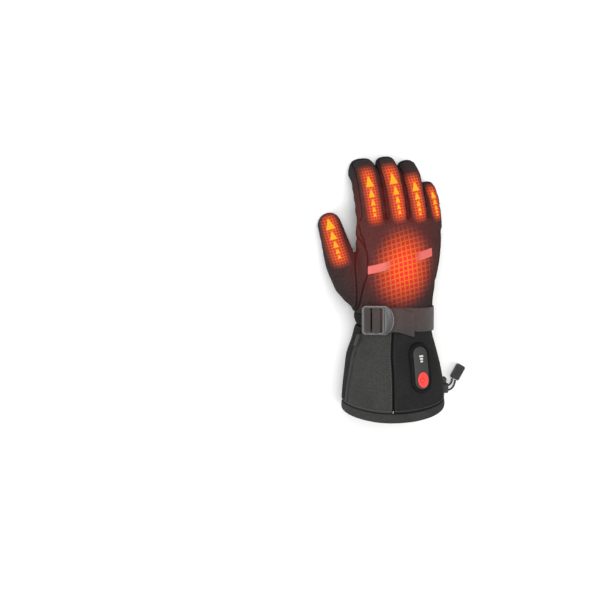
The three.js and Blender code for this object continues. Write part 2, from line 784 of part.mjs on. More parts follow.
function oval(width, length, count) {
  return Array.from({ length: count }, (_, i) => {
    const angle = (i / count) * 2 * Math.PI;
    return [(width / 2) * Math.cos(angle), (length / 2) * Math.sin(angle)];
  });
}

// Control panel: a soft ridge round a hard face, with its light bars and its button
const panelAt = { x: panelX, y: panelY };
const ridgeRows = [
  { out: 0, up: 0 },
  { out: 0, up: 0.7 },
  { out: 0.35, up: 1 },
  { out: 0.8, up: 0.75 },
  { out: 1, up: 0 },
];
meshes.controller_surround = torusLoft(ridgeRows.map((row) => {
  const out = clearance + ridgeWidth * row.out;
  return pill(panelWidth + 2 * out, panelLength + 2 * out, 7, 4).map(([u, v]) => (
    backPoint(panelAt.x + u, panelAt.y + v, clearance + ridgeHeight * row.up)));
}));
meshes.controller_face = backPad(panelAt, pill(panelWidth, panelLength, 7, 4), clearance, panelThickness, panelCrown);
const faceTop = 2 * clearance + panelThickness + panelCrown;
meshes.power_button = backPad({ x: panelX, y: panelY + buttonOffset }, oval(buttonWidth, buttonLength, 18),
  faceTop, buttonHeight / 2, buttonHeight / 2);
ledWidths.forEach((width, i) => {
  const half = [width / 2, ledHeight / 2];
  const corners = [[half[0], -half[1]], [half[0], half[1]], [-half[0], half[1]], [-half[0], -half[1]]];
  const middle = { x: panelX, y: panelY + ledOffset - ledPitch * i };
  meshes[`led_bar_${i + 1}`] = backPad(middle, corners, faceTop, ledLift, 0);
});

// Reflective ribbon, slanted across the back
const ribbonSteps = 12;
meshes.reflective_strip = loft(Array.from({ length: ribbonSteps + 1 }, (_, i) => {
  const x = THREE.MathUtils.lerp(ribbonFrom.x, ribbonTo.x, i / ribbonSteps);
  const y = THREE.MathUtils.lerp(ribbonFrom.y, ribbonTo.y, i / ribbonSteps);
  const across = [-ribbonWidth / 2, 0, ribbonWidth / 2];
  return [
    ...across.map((v) => backPoint(x, y + v, clearance + ribbonThickness)),
    ...across.reverse().map((v) => backPoint(x, y + v, clearance)),
  ];
}), true);

// A narrow strip on the cuff along its zip seam, with an offset from the seam and a lift off the cloth
function seamStrip(ys, width, offset, lift, thickness) {
  return loft(ys.map((y) => {
    const section = sectionAt(y);
    const perMm = 1 / (0.62 * section.half) / degrees;
    const angles = [-0.5, 0, 0.5].map((share) => (zipSeam(y) + (offset + share * width) * perMm) * degrees);
    return [
      ...angles.map((angle) => sectionPoint(section, angle, lift + thickness)),
      ...angles.reverse().map((angle) => sectionPoint(section, angle, lift)),
    ];
  }), true);
}
const zipStartY = wristSeamY - zipStart;
const zipYs = Array.from({ length: 8 }, (_, i) => THREE.MathUtils.lerp(zipStartY, cuffEndY + zipEndGap, i / 7));
meshes.zip_tape = seamStrip(zipYs, zipWidth, 0, clearance, zipThickness);
const pullYs = Array.from({ length: 3 }, (_, i) => zipStartY - 1 - (pullLength * i) / 2);
meshes.zip_pull = seamStrip(pullYs, pullWidth, 0, 2 * clearance + zipThickness, pullThickness);

// Wrist strap: its section clears the widest of the wrist under the webbing
const strapSamples = [-1, -0.5, 0, 0.5, 1].map((share) => sectionAt(strapY + strapReachY * share));
const strapSection = (() => {
  const right = Math.max(...strapSamples.map((s) => s.x + s.half));
  const left = Math.min(...strapSamples.map((s) => s.x - s.half));
  return {
    y: 0,
    x: (right + left) / 2,
    half: (right - left) / 2,
    top: Math.max(...strapSamples.map((s) => s.top)),
    bottom: Math.min(...strapSamples.map((s) => s.bottom)),
    lean: 0,
    bow: 0,
  };
})();
const layer = webThickness + clearance;
const firstLayer = clearance + webThickness / 2;
const angleAtX = (x) => {
  const share = (x - strapSection.x) / strapSection.half;
  return Math.acos(signedPower(share, trunkSquareness / 2)) / degrees;
};
const onWrist = (angle, lift) => sectionPoint(strapSection, angle * degrees, lift);

// The buckle's own frame: u along it, n off the cloth, with its middle over the wrist at buckleX
const buckleAngle = angleAtX(buckleX);
const buckleSeat = onWrist(buckleAngle, 2 * layer + clearance);
const buckleU = xAxis.clone().applyAxisAngle(yAxis, -buckleTilt * degrees);
const buckleN = zAxis.clone().applyAxisAngle(yAxis, -buckleTilt * degrees);
const inBuckle = (u, n) => buckleSeat.clone()
  .addScaledVector(buckleU, u - buckleLength / 2)
  .addScaledVector(buckleN, n);

// A web strip along a path in the X-Z plane. Each path point's y is its shift from the strap's line.
function webStrip(path) {
  return loft(path.map((point, i) => {
    const ahead = path[Math.min(i + 1, path.length - 1)];
    const behind = path[Math.max(i - 1, 0)];
    const tangent = new THREE.Vector3(ahead.x - behind.x, 0, ahead.z - behind.z).normalize();
    const normal = new THREE.Vector3(-tangent.z, 0, tangent.x).multiplyScalar(webThickness / 2);
    const corner = (side, up) => point.clone()
      .addScaledVector(normal, up)
      .setY(strapY + point.y + (side * webWidth) / 2);
    return [corner(-1, 1), corner(1, 1), corner(1, -1), corner(-1, -1)];
  }), true);
}

// Turn of webbing round a bar of the buckle, from its foot on one side over it to its foot on the other
function overBar(from, to, footFrom, footTo) {
  const turn = webThickness / 2 + clearance;
  const top = buckleThickness + turn;
  const round = turn * 0.72;
  return [
    [from - turn, footFrom], [from - turn, buckleThickness - 0.6], [from - round, top - round * 0.42], [from, top],
    [to, top], [to + round, top - round * 0.42], [to + turn, buckleThickness - 0.6], [to + turn, footTo],
  ];
}

const strapStartX = buckleX + buckleLength / 2 + tongueReach;
const webAt = (angle, lift, fall) => {
  const point = onWrist(angle, lift);
  return point.setY(angle < 0 ? -fall * (onWrist(0, lift).x - strapStartX) : -fall * Math.max(0, point.x - strapStartX));
};
const inWeb = ([u, n]) => inBuckle(u, n).setY(0);
const underLift = -layer - clearance - webThickness / 2;
const tailLift = -clearance - webThickness / 2;
const [slotA, slotB, slotC] = buckleSlots;
const underAngles = [];
const strapTurnIn = angleAtX(strapStartX);
for (let angle = strapEndAngle; angle < strapTurnIn - 4; angle += 9) underAngles.push(angle);
const tailAngles = [0.35, 0.7, 1].map((share) => (
  THREE.MathUtils.lerp(strapTurnIn, angleAtX(tailX), share)));
meshes.wrist_strap = webStrip([
  ...underAngles.map((angle) => webAt(angle, firstLayer, strapFall)),
  inWeb([buckleLength + tongueReach, underLift - 1.3]),
  inWeb([buckleLength, underLift]),
  inWeb([slotB.to + 0.8, underLift]),
  inWeb([slotB.to - 0.5, underLift + 0.5]),
  ...overBar(slotB.to, slotC.from, -0.6, tailLift + 0.9).map(inWeb),
  inWeb([slotC.from + 2, tailLift + 0.15]),
  inWeb([slotC.to + 1, tailLift]),
  inWeb([buckleLength + tongueReach * 0.6, tailLift]),
  inWeb([buckleLength + tongueReach + 2, tailLift - 0.5]),
  ...tailAngles.map((angle) => webAt(angle, firstLayer + layer + clearance, tailFall)),
]);
meshes.buckle_anchor = webStrip([
  inWeb([-anchorReach, tailLift - 1.6]),
  inWeb([slotA.from, tailLift - 0.2]),
  ...overBar(slotA.to, slotB.from, 0, -1.2).map(inWeb),
  inWeb([slotB.from + 0.4, underLift + 0.5]),
  inWeb([slotB.from - 1.4, underLift]),
  inWeb([slotA.from - 1, underLift - 0.4]),
  inWeb([-anchorReach, underLift - 1.8]),
]);

// Ladder-lock buckle: a frame with three slots, and a domed tongue past its right bar
function roundedRect(shape, left, low, right, high, radius) {
  shape.moveTo(left + radius, low);
  shape.lineTo(right - radius, low);
  shape.absarc(right - radius, low + radius, radius, -Math.PI / 2, 0);
  shape.absarc(right - radius, high - radius, radius, 0, Math.PI / 2);
  shape.absarc(left + radius, high - radius, radius, Math.PI / 2, Math.PI);
  shape.absarc(left + radius, low + radius, radius, Math.PI, 1.5 * Math.PI);
  return shape;
}
const buckleShape = new THREE.Shape();
const halfBuckle = buckleWidth / 2;
const halfTongue = tongueWidth / 2;
buckleShape.moveTo(buckleCorner, -halfBuckle);
buckleShape.lineTo(buckleLength, -halfBuckle);
buckleShape.bezierCurveTo(buckleLength + tongueReach * 1.33, -halfTongue, buckleLength + tongueReach * 1.33, halfTongue,
  buckleLength, halfBuckle);
buckleShape.lineTo(buckleCorner, halfBuckle);
buckleShape.absarc(buckleCorner, halfBuckle - buckleCorner, buckleCorner, Math.PI / 2, Math.PI);
buckleShape.absarc(buckleCorner, buckleCorner - halfBuckle, buckleCorner, Math.PI, 1.5 * Math.PI);
const halfSlot = webWidth / 2 + clearance + 0.1;
for (const slot of buckleSlots) {
  buckleShape.holes.push(roundedRect(new THREE.Path(), slot.from, -halfSlot, slot.to, halfSlot, 0.5));
}
const buckleGeometry = new THREE.ExtrudeGeometry(buckleShape, {
  depth: buckleThickness - 2 * buckleBevel,
  bevelThickness: buckleBevel,
  bevelSize: buckleBevel,
  bevelOffset: -buckleBevel,
  bevelSegments: 1,
  curveSegments: 3,
});
buckleGeometry.translate(-buckleLength / 2, 0, buckleBevel);
meshes.buckle = buckleGeometry;

// Belt loop over the strap on the little finger's side
const keeperMiddle = strapY - strapFall * (onWrist(0, firstLayer).x - strapStartX);
const keeperRows = [-1, -0.86, -0.79, 0, 0.79, 0.86, 1];
meshes.strap_keeper = loft(keeperRows.map((share) => {
  const y = keeperMiddle + (share * keeperLength) / 2;
  const raised = Math.abs(share) < 0.8;
  const section = raised ? strapSection : sectionAt(y);
  const lift = raised ? layer + clearance : 2 * clearance;
  const spread = (keeperWidth / 2 / (0.62 * section.half)) / degrees;
  const angles = [-spread, 0, spread].map((turn) => (keeperAngle + turn) * degrees);
  return [
    ...angles.map((angle) => sectionPoint(section, angle, lift + keeperThickness).setY(y)),
    ...angles.reverse().map((angle) => sectionPoint(section, angle, lift).setY(y)),
  ];
}), true);

// Drawcord pieces at the hem
const tabY = (cordRoutes.drawcord_front[0][1] + cordRoutes.drawcord_back[0][1]) / 2;
meshes.cord_tab = loft([-0.5, -0.2, 0.2, 0.5].map((share) => {
  const y = tabY + share * cordTabSize.length;
  const section = sectionAt(y + 2.5);
  const spread = (cordTabSize.width / 2 / (0.62 * section.half)) / degrees;
  const angles = [-spread, 0, spread].map((turn) => (cuffSeam.side + turn) * degrees);
  const lift = clearance + hemBulge * hemWall;
  return [
    ...angles.map((angle) => sectionPoint(section, angle, lift + cordTabSize.thickness).setY(y)),
    ...angles.reverse().map((angle) => sectionPoint(section, angle, lift).setY(y)),
  ];
}), true);

for (const [name, route] of Object.entries(cordRoutes)) {
  const curve = new THREE.CatmullRomCurve3(route.map(([x, y, z]) => new THREE.Vector3(x, y, z)), false, "centripetal");
  const section = new THREE.Shape(Array.from({ length: cordSides }, (_, i) => {
    const angle = ((i + 0.5) / cordSides) * 2 * Math.PI;
    return new THREE.Vector2((cordDiameter / 2) * Math.cos(angle), (cordDiameter / 2) * Math.sin(angle));
  }));
  meshes[name] = new THREE.ExtrudeGeometry(section, { steps: cordSteps, extrudePath: curve, bevelEnabled: false });
}

const lockShape = roundedRect(new THREE.Shape(), -lockSize.y / 2, -lockSize.z / 2, lockSize.y / 2, lockSize.z / 2, 3);
for (const side of [-1, 1]) {
  const bore = new THREE.Path();
  bore.absarc((side * lockSpread) / 2, 0, cordDiameter / 2 + clearance, 0, 2 * Math.PI);
  lockShape.holes.push(bore);
}
const lockGeometry = new THREE.ExtrudeGeometry(lockShape, { depth: lockSize.x, bevelEnabled: false, curveSegments: 4 });
lockGeometry.translate(0, 0, -lockSize.x / 2);
lockGeometry.rotateX(Math.PI / 2);
lockGeometry.rotateZ(Math.PI / 2);
meshes.cord_lock = lockGeometry;

const dome = Array.from({ length: 4 }, (_, i) => {
  const angle = (i / 3) * (Math.PI / 2);
  return new THREE.Vector2(plungerRadius * Math.cos(angle), plungerLength - plungerRadius * (1 - Math.sin(angle)));
});
dome[3].x = 0;
meshes.cord_plunger = new THREE.LatheGeometry([new THREE.Vector2(0, 0), new THREE.Vector2(plungerRadius, 0), ...dome], 14);

const tabShape = roundedRect(new THREE.Shape(), -pullTabSize.x / 2, -pullTabSize.y / 2, pullTabSize.x / 2,
  pullTabSize.y / 2, 2.4);
const tabBevel = 0.8;
const tabGeometry = new THREE.ExtrudeGeometry(tabShape, {
  depth: pullTabSize.z - 2 * tabBevel,
  bevelThickness: tabBevel,
  bevelSize: tabBevel,
  bevelOffset: -tabBevel,
  bevelSegments: 1,
  curveSegments: 3,
});
tabGeometry.translate(0, 0, tabBevel - pullTabSize.z / 2);
meshes.pull_tab = tabGeometry;

// Where the pieces stand that are made round their own middle
const placed = {
  buckle: { position: buckleSeat.clone().setY(strapY), turn: new THREE.Euler(0, -buckleTilt * degrees, 0) },
  cord_lock: { position: new THREE.Vector3(lockAt.x, lockAt.y, lockAt.z), turn: new THREE.Euler() },
  cord_plunger: {
    position: new THREE.Vector3(lockAt.x, lockAt.y + lockSize.y / 2 + clearance, lockAt.z),
    turn: new THREE.Euler(),
  },
  pull_tab: {
    position: new THREE.Vector3(pullTabAt.x, pullTabAt.y, pullTabAt.z),
    turn: new THREE.Euler(0, 0, pullTabTurn * degrees),
  },
};

for (const [name, solid] of Object.entries(nodes)) meshes[name] = fromSolid(solid);

// Colour, roughness and metalness of each finish, and the pieces that have it
const finishes = {
  softshell: { color: 0x26262a, roughness: 0.92, metalness: 0 },
  palmCloth: { color: 0x2a2a2b, roughness: 0.85, metalness: 0 },
  grip: { color: 0x4a4b4c, roughness: 0.6, metalness: 0 },
  webbing: { color: 0x2b2728, roughness: 0.9, metalness: 0 },
  plastic: { color: 0x3a3a3c, roughness: 0.42, metalness: 0 },
  blackPlastic: { color: 0x141415, roughness: 0.35, metalness: 0 },
  reflective: { color: 0xb9b4b2, roughness: 0.4, metalness: 0 },
  face: { color: 0x4c4c50, roughness: 0.5, metalness: 0 },
  redRubber: { color: 0xe8443e, roughness: 0.5, metalness: 0 },
  ledWhite: { color: 0xdcdcd8, roughness: 0.4, metalness: 0 },
};
const finishOf = {
  finger_fronts: "palmCloth", palm_heel: "palmCloth", thumb_front: "palmCloth", cuff_palm: "palmCloth",
  palm_grip: "grip", wrist_strap: "webbing", buckle_anchor: "webbing", zip_pull: "webbing",
  buckle: "plastic", cord_lock: "blackPlastic", cord_plunger: "blackPlastic", pull_tab: "blackPlastic",
  zip_tape: "blackPlastic", drawcord_front: "blackPlastic", drawcord_back: "blackPlastic",
  reflective_strip: "reflective", controller_face: "face", power_button: "redRubber",
  led_bar_1: "ledWhite", led_bar_2: "ledWhite", led_bar_3: "ledWhite",
};

const glove = new THREE.Group();
for (const [name, geometry] of Object.entries(meshes)) {
  const mesh = new THREE.Mesh(geometry, new THREE.MeshStandardMaterial(finishes[finishOf[name] ?? "softshell"]));
  mesh.name = name;
  if (placed[name]) {
    mesh.position.copy(placed[name].position);
    mesh.rotation.copy(placed[name].turn);
  }
  glove.add(mesh);
}
glove.position.copy(standAt);
const model = new THREE.Group();
model.add(glove);
export default model;
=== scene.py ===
import math
import bpy
import numpy as np
from mathutils import Matrix, Vector, noise


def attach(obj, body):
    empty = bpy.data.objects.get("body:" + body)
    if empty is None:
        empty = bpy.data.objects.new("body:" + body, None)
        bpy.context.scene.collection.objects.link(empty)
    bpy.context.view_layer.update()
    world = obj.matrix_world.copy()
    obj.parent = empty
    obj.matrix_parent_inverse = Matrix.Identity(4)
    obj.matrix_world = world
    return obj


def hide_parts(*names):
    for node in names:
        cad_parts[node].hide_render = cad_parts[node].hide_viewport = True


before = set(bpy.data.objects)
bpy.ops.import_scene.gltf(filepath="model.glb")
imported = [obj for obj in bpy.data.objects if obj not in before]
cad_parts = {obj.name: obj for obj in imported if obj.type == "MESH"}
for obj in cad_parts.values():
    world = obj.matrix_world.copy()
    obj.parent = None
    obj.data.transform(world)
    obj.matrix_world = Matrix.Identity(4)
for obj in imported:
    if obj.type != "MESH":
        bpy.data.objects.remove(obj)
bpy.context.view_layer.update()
scene = bpy.context.scene
scene.view_settings.view_transform = "Standard"

mm = 0.001
standAt = np.array([8.65, -2.35, 0.0])         # where the glove's own millimetres stand in the frame
degrees = math.pi / 180


def toFrame(points):
    return (np.asarray(points, float) + standAt) * mm


# Camera: above the glove, a little to the thumb's side and to the fingertips' side of upright
view = {
    "aside": 18.0, "ahead": 9.0, "distance": 1100.0, "target": (0, 0, 40), "pixel": (392, 290),
    "perPixel": 1.22, "image": 600, "sensor": 36,
}


def addCamera():
    aside = view["aside"] * degrees
    ahead = view["ahead"] * degrees
    back = Vector((-math.sin(aside) * math.cos(ahead), math.sin(ahead), math.cos(aside) * math.cos(ahead)))
    right = Vector((0, 1, 0)).cross(back).normalized()
    up = back.cross(right)
    focal = view["distance"] / view["perPixel"]
    offX, offY = [place - view["image"] / 2 for place in view["pixel"]]
    forward = (-back * focal - right * offX + up * offY).normalized()
    side = forward.cross(up).normalized()
    top = side.cross(forward)
    data = bpy.data.cameras.new("gloveCamera")
    data.sensor_width = view["sensor"]
    data.lens = view["sensor"] * focal / view["image"]
    camera = bpy.data.objects.new("gloveCamera", data)
    scene.collection.objects.link(camera)
    turn = Matrix((side, top, -forward)).transposed().to_4x4()
    eye = Vector(toFrame(view["target"])) + back * view["distance"] * mm
    camera.matrix_world = Matrix.Translation(eye) @ turn
    scene.camera = camera


addCamera()
print("camera placed")


# Shader maths: a socket that adds, takes away, multiplies and divides by itself
class Value:
    def __init__(self, finish, link):
        self.finish = finish
        self.link = link

    def calc(self, operation, *others):
        return self.finish.maths(operation, self, *others)

    def __add__(self, other):
        return self.calc("ADD", other)

    def __radd__(self, other):
        return self.calc("ADD", other)

    def __sub__(self, other):
        return self.calc("SUBTRACT", other)

    def __rsub__(self, other):
        return self.finish.maths("SUBTRACT", other, self)

    def __mul__(self, other):
        return self.calc("MULTIPLY", other)

    def __truediv__(self, other):
        return self.calc("DIVIDE", other)

    def __pow__(self, other):
        return self.calc("POWER", other)

    def __abs__(self):
        return self.calc("ABSOLUTE")

    def lessThan(self, other):
        return self.calc("LESS_THAN", other)

    def smaller(self, other):
        return self.calc("MINIMUM", other)

    def larger(self, other):
        return self.calc("MAXIMUM", other)

    def fract(self):
        return self.calc("FRACT")

    def sine(self):
        return self.calc("SINE")

    def fade(self, low, high):                  # 0 at low, 1 at high, smooth between them
        return self.finish.node("ShaderNodeMapRange", {"interpolation_type": "SMOOTHSTEP"},
                                {"Value": self, "From Min": low, "From Max": high})


class Finish:                                   # one material and its nodes
    def __init__(self, name, roughness=0.8, sheen=0.0, specular=0.4, coat=0.0):
        self.material = bpy.data.materials.new(name)
        self.material.use_nodes = True
        self.tree = self.material.node_tree
        self.shader = self.tree.nodes["Principled BSDF"]
        self.shader.inputs["Roughness"].default_value = roughness
        self.shader.inputs["Sheen Weight"].default_value = sheen
        self.shader.inputs["Sheen Roughness"].default_value = 0.6
        self.shader.inputs["Specular IOR Level"].default_value = specular
        self.shader.inputs["Coat Weight"].default_value = coat

    def feed(self, socket, value):
        if isinstance(value, Value):
            self.tree.links.new(value.link, socket)
        else:
            socket.default_value = value

    def node(self, kind, settings=None, sockets=None, output=0):
        made = self.tree.nodes.new(kind)
        for key, value in (settings or {}).items():
            setattr(made, key, value)
        for key, value in (sockets or {}).items():
            self.feed(made.inputs[key], value)
        return Value(self, made.outputs[output])

    def maths(self, operation, *values):
        return self.node("ShaderNodeMath", {"operation": operation}, dict(enumerate(values)))

    def vector(self, operation, a, b):
        return self.node("ShaderNodeVectorMath", {"operation": operation}, {0: a, 1: b})

    def blend(self, factor, a, b, kind="MIX"):  # colours
        a, b = [(*c, 1) if isinstance(c, tuple) else c for c in (a, b)]
        settings = {"data_type": "RGBA", "blend_type": kind}
        return self.node("ShaderNodeMix", settings, {0: factor, 6: a, 7: b}, 2)

    def place(self):
        return self.node("ShaderNodeTexCoord", output=3)

    def split(self, vector):
        made = self.tree.nodes.new("ShaderNodeSeparateXYZ")
        self.feed(made.inputs[0], vector)
        return [Value(self, socket) for socket in made.outputs]

    def glovePlace(self):                       # the glove's own millimetres
        x, y, z = self.split(self.place())
        return x * 1000 - standAt[0], y * 1000 - standAt[1], z * 1000

    def told(self, name):                       # a number kept at each corner of the mesh
        return self.node("ShaderNodeAttribute", {"attribute_name": name}, output=2)

    def grain(self, scale, detail=2.0, roughness=0.5, stretch=None):
        place = self.place()
        if stretch:
            place = self.vector("MULTIPLY", place, stretch)
        return self.node("ShaderNodeTexNoise", None,
                         {"Vector": place, "Scale": scale, "Detail": detail, "Roughness": roughness})

    def cells(self, scale, output=0):
        return self.node("ShaderNodeTexVoronoi", None, {"Vector": self.place(), "Scale": scale}, output)

    def colour(self, value):
        self.feed(self.shader.inputs["Base Color"], value)

    def rough(self, value):
        self.feed(self.shader.inputs["Roughness"], value)

    def glow(self, colour, strength=1.0):
        self.feed(self.shader.inputs["Emission Color"], colour)
        self.shader.inputs["Emission Strength"].default_value = strength

    def bumps(self, *layers):                   # (height in millimetres, how far it counts), coarse first
        normal = None
        for height, strength in layers:
            sockets = {"Height": height, "Strength": strength, "Distance": mm}
            if normal is not None:
                sockets["Normal"] = normal
            normal = self.node("ShaderNodeBump", None, sockets)
        self.feed(self.shader.inputs["Normal"], normal)


# Sizes and tables of the glove, the same ones as its solids have
wristSeamY, wristBandLength, handLength = -42, 16, 128
wristWidth, palmWidth, palmTop, knuckleDrop = 95, 109, 61, 6.5
trunkPower, fingerPower, fingerTaper, longestReach = 2.4, 2.6, 0.97, 60
cuffLength, hemWidth, hemHeight, hemBow = 93.5, 126.5, 82, 8
hemBand, hemWall, hemBulge, floorPress = 11.5, 4.4, 0.2, 1.8
padWall, cuffWall, seamGap, clearance = 3.6, 3.0, 0.36, 0.32
floorGap, skinRoom = 0.02, 0.4                   # room under the glove, and inside each panel
handEndY = wristSeamY + wristBandLength + seamGap
crotchesY = wristSeamY + handLength
cuffEndY = wristSeamY - cuffLength

handRows = {
    "along": [0, 0.09, 0.17, 0.33, 0.46, 0.62, 0.8, 0.92, 0.975, 1],
    "width": [0, 0.2, -0.05, 0.16, 0.42, 0.78, 0.96, 0.95, 0.8, 0.5],
    "centre": [0.05, 0.04, 0.045, 0.06, 0.075, 0.09, 0.098, 0.1, 0.1, 0.1],
    "top": [0.98, 0.985, 0.985, 1, 1, 0.985, 0.94, 0.87, 0.8, 0.72],
    "bottom": [0.05, 0.05, 0.06, 0.05, 0.06, 0.09, 0.14, 0.21, 0.29, 0.36],
    "lean": [0, 0, 0, 0.1, 0.3, 0.55, 0.85, 1, 1, 1],
}
cuffRows = {
    "along": [0, 0.17, 0.36, 0.54, 0.77, 1],
    "width": [0, 0.16, 0.5, 0.72, 0.91, 1],
    "centre": [0.04, 0.026, 0.014, 0.016, 0.014, 0.01],
    "height": [0, 0.12, 0.42, 0.66, 0.87, 1],
    "bottom": [1, 0.4, 0, 0, 0, 0],
}
fingerColumns = ("x", "z", "reach", "width", "depth", "tipX", "tipZ")
fingerRows = {
    "index": (-0.2257, 0.549, 0.958, 0.299, 0.4836, -0.2697, 0.2066),
    "middle": (0.055, 0.582, 1, 0.242, 0.4754, 0.0018, 0.2066),
    "ring": (0.3046, 0.5246, 0.917, 0.2367, 0.459, 0.2495, 0.2),
    "pinky": (0.522, 0.3934, 0.517, 0.1853, 0.3934, 0.49, 0.1803),
}
fingerRows = {name: dict(zip(fingerColumns, row)) for name, row in fingerRows.items()}
curlRows = [                                    # reach, drop
    (-0.45, -0.05), (-0.1, -0.02), (0.22, 0.04), (0.5, 0.15), (0.74, 0.34), (0.91, 0.62), (1, 1),
]
thumb = {
    "length": 124, "spread": 49, "drop": 16.5, "width": 44, "depth": 43,
    "x": -0.202, "y": -0.0156, "z": 0.508,
}
thumbRows = [                                   # along, out, drop, width, depth
    (0, 0, 0, 0.5, 0.72), (0.23, 0.24, 0.02, 0.66, 0.86), (0.435, 0.52, 0.26, 0.93, 0.92),
    (0.635, 0.75, 0.55, 0.85, 0.82), (0.855, 0.9, 0.86, 0.7, 0.68), (1, 1, 1, 0.63, 0.64),
]
thumbSeams = {
    "down": [0, 0.15, 0.35, 0.6, 0.82, 1],
    "inner": [-0.327, -0.316, -0.317, -0.358, -0.394, -0.427],
    "outer": [-0.399, -0.415, -0.427, -0.426, -0.4275, -0.431],
    "palm": [-0.367, -0.345, -0.329, -0.3165, -0.31, -0.306],
}
thumbAhead = {"ahead": [0, 0.121, 0.266, 0.637], "out": [-0.404, -0.436, -0.477, -0.55]}
crotchShare = 0.727
crotchY = wristSeamY + handLength * crotchShare
gripTop = {"share": 0.672, "slope": -0.12}
gripBottom = {"share": 0.359, "slope": 0.16}
cuffSeam = {"centre": 98.5, "zipTop": 156, "zipHem": 172, "side": -36}


def signedPower(value, power):
    return np.sign(value) * np.abs(value) ** power


def smoothColumn(rows, key, where):             # smooth curve through one column of a table
    xs = np.array(rows["along"], float)
    ys = np.array(rows[key], float)
    slopes = np.gradient(ys, xs)
    slopes[1:-1] = (ys[2:] - ys[:-2]) / (xs[2:] - xs[:-2])
    slopes[0] = (ys[1] - ys[0]) / (xs[1] - xs[0])
    slopes[-1] = (ys[-1] - ys[-2]) / (xs[-1] - xs[-2])
    where = np.clip(where, 0, 1)
    i = np.clip(np.searchsorted(xs, where, side="right") - 1, 0, len(xs) - 2)
    span = xs[i + 1] - xs[i]
    t = (where - xs[i]) / span
    t2, t3 = t * t, t * t * t
    return ((2 * t3 - 3 * t2 + 1) * ys[i] + (t3 - 2 * t2 + t) * slopes[i] * span
            + (3 * t2 - 2 * t3) * ys[i + 1] + (t3 - t2) * slopes[i + 1] * span)


def sectionsAt(y):
    y = np.atleast_1d(np.asarray(y, float))
    onHand = y >= wristSeamY
    along = np.where(onHand, (y - wristSeamY) / handLength, 0)
    down = np.clip(np.where(onHand, 0, (wristSeamY - y) / cuffLength), 0, 1)
    wristTop = palmTop * handRows["top"][0]
    bottom = np.maximum(smoothColumn(cuffRows, "bottom", down), 0)
    handWidth = wristWidth + (palmWidth - wristWidth) * smoothColumn(handRows, "width", along)
    cuffWidth = wristWidth + (hemWidth - wristWidth) * smoothColumn(cuffRows, "width", down)
    return {
        "y": y,
        "half": np.where(onHand, handWidth, cuffWidth) / 2,
        "x": np.where(onHand, palmWidth * smoothColumn(handRows, "centre", along),
                      hemWidth * smoothColumn(cuffRows, "centre", down)),
        "top": np.where(onHand, palmTop * smoothColumn(handRows, "top", along),
                        wristTop + (hemHeight - wristTop) * smoothColumn(cuffRows, "height", down)),
        "bottom": np.where(onHand, palmTop * smoothColumn(handRows, "bottom", along),
                           palmTop * handRows["bottom"][0] * bottom - floorPress * (1 - bottom)),
        "lean": np.where(onHand, knuckleDrop * smoothColumn(handRows, "lean", along), 0),
        "bow": np.where(onHand, 0, hemBow * down * down),
    }


def sectionAt(y):
    return {key: values[0] for key, values in sectionsAt(y).items()}


def sectionColumn(ys):                          # sections down the rows of a grid
    return {key: values[:, None] for key, values in sectionsAt(ys).items()}


def distances(path):                            # how far along it each point of a path lies
    return np.r_[0, np.cumsum(np.linalg.norm(np.diff(path, axis=0), axis=1))]


def offFloor(points):
    points[..., 2] = np.maximum(points[..., 2], floorGap)
    return points


def ringPoints(section, angle, grow=0.0, floor=0.0):
    angle = np.asarray(angle, float)
    power = 2 / trunkPower
    half = section["half"] + grow
    height = (section["top"] - section["bottom"]) / 2 + grow
    middle = (section["top"] + section["bottom"]) / 2
    across = signedPower(np.cos(angle), power)
    x = section["x"] + half * across
    z = middle + height * signedPower(np.sin(angle), power) - section["lean"] * across
    y = section["y"] - section["bow"] * (1 - across * across)
    x, y, z = np.broadcast_arrays(x, y, np.maximum(z, floor))
    return np.stack([x, y, z], -1)


def backPoint(x, y, lift=0.0):                  # the cloth's back over a place in plan, lifted off it
    x, y, lift = np.broadcast_arrays(*[np.asarray(v, float) for v in (x, y, lift)])
    shape = x.shape
    x, y, lift = x.ravel(), y.ravel(), lift.ravel()
    section = sectionsAt(y)
    for _ in range(5):
        share = (x - section["x"]) / section["half"]
        section = sectionsAt(y + section["bow"] * (1 - share * share))
    share = np.clip((x - section["x"]) / section["half"], -1, 1)
    angle = np.arccos(signedPower(share, trunkPower / 2))
    return ringPoints(section, angle, lift).reshape(*shape, 3)


def curveThrough(points, steps):                # smooth curve through points, with its tangents
    points = np.array(points, float)
    ends = np.vstack([2 * points[0] - points[1], points, 2 * points[-1] - points[-2]])
    where = np.linspace(0, len(points) - 1, steps)
    out, tangent = [], []
    for t in where:
        i = min(int(t), len(points) - 2)
        w = t - i
        p0, p1, p2, p3 = ends[i:i + 4]
        d0, d1, d2 = [max(np.linalg.norm(b - a), 1e-6) ** 0.5 for a, b in ((p0, p1), (p1, p2), (p2, p3))]
        m1 = ((p1 - p0) / d0 - (p2 - p0) / (d0 + d1) + (p2 - p1) / d1) * d1
        m2 = ((p2 - p1) / d1 - (p3 - p1) / (d1 + d2) + (p3 - p2) / d2) * d1
        c2 = -3 * p1 + 3 * p2 - 2 * m1 - m2
        c3 = 2 * p1 - 2 * p2 + m1 + m2
        out.append(p1 + m1 * w + c2 * w * w + c3 * w ** 3)
        tangent.append(m1 + 2 * c2 * w + 3 * c3 * w * w)
    tangent = np.array(tangent)
    return np.array(out), tangent / np.linalg.norm(tangent, axis=1)[:, None], where


def sideAndUp(tangents):                        # level sideways directions along a path, and those above it
    side = np.cross(tangents, (0, 0, 1.0))
    side /= np.linalg.norm(side, axis=1)[:, None]
    return side, np.cross(side, tangents)


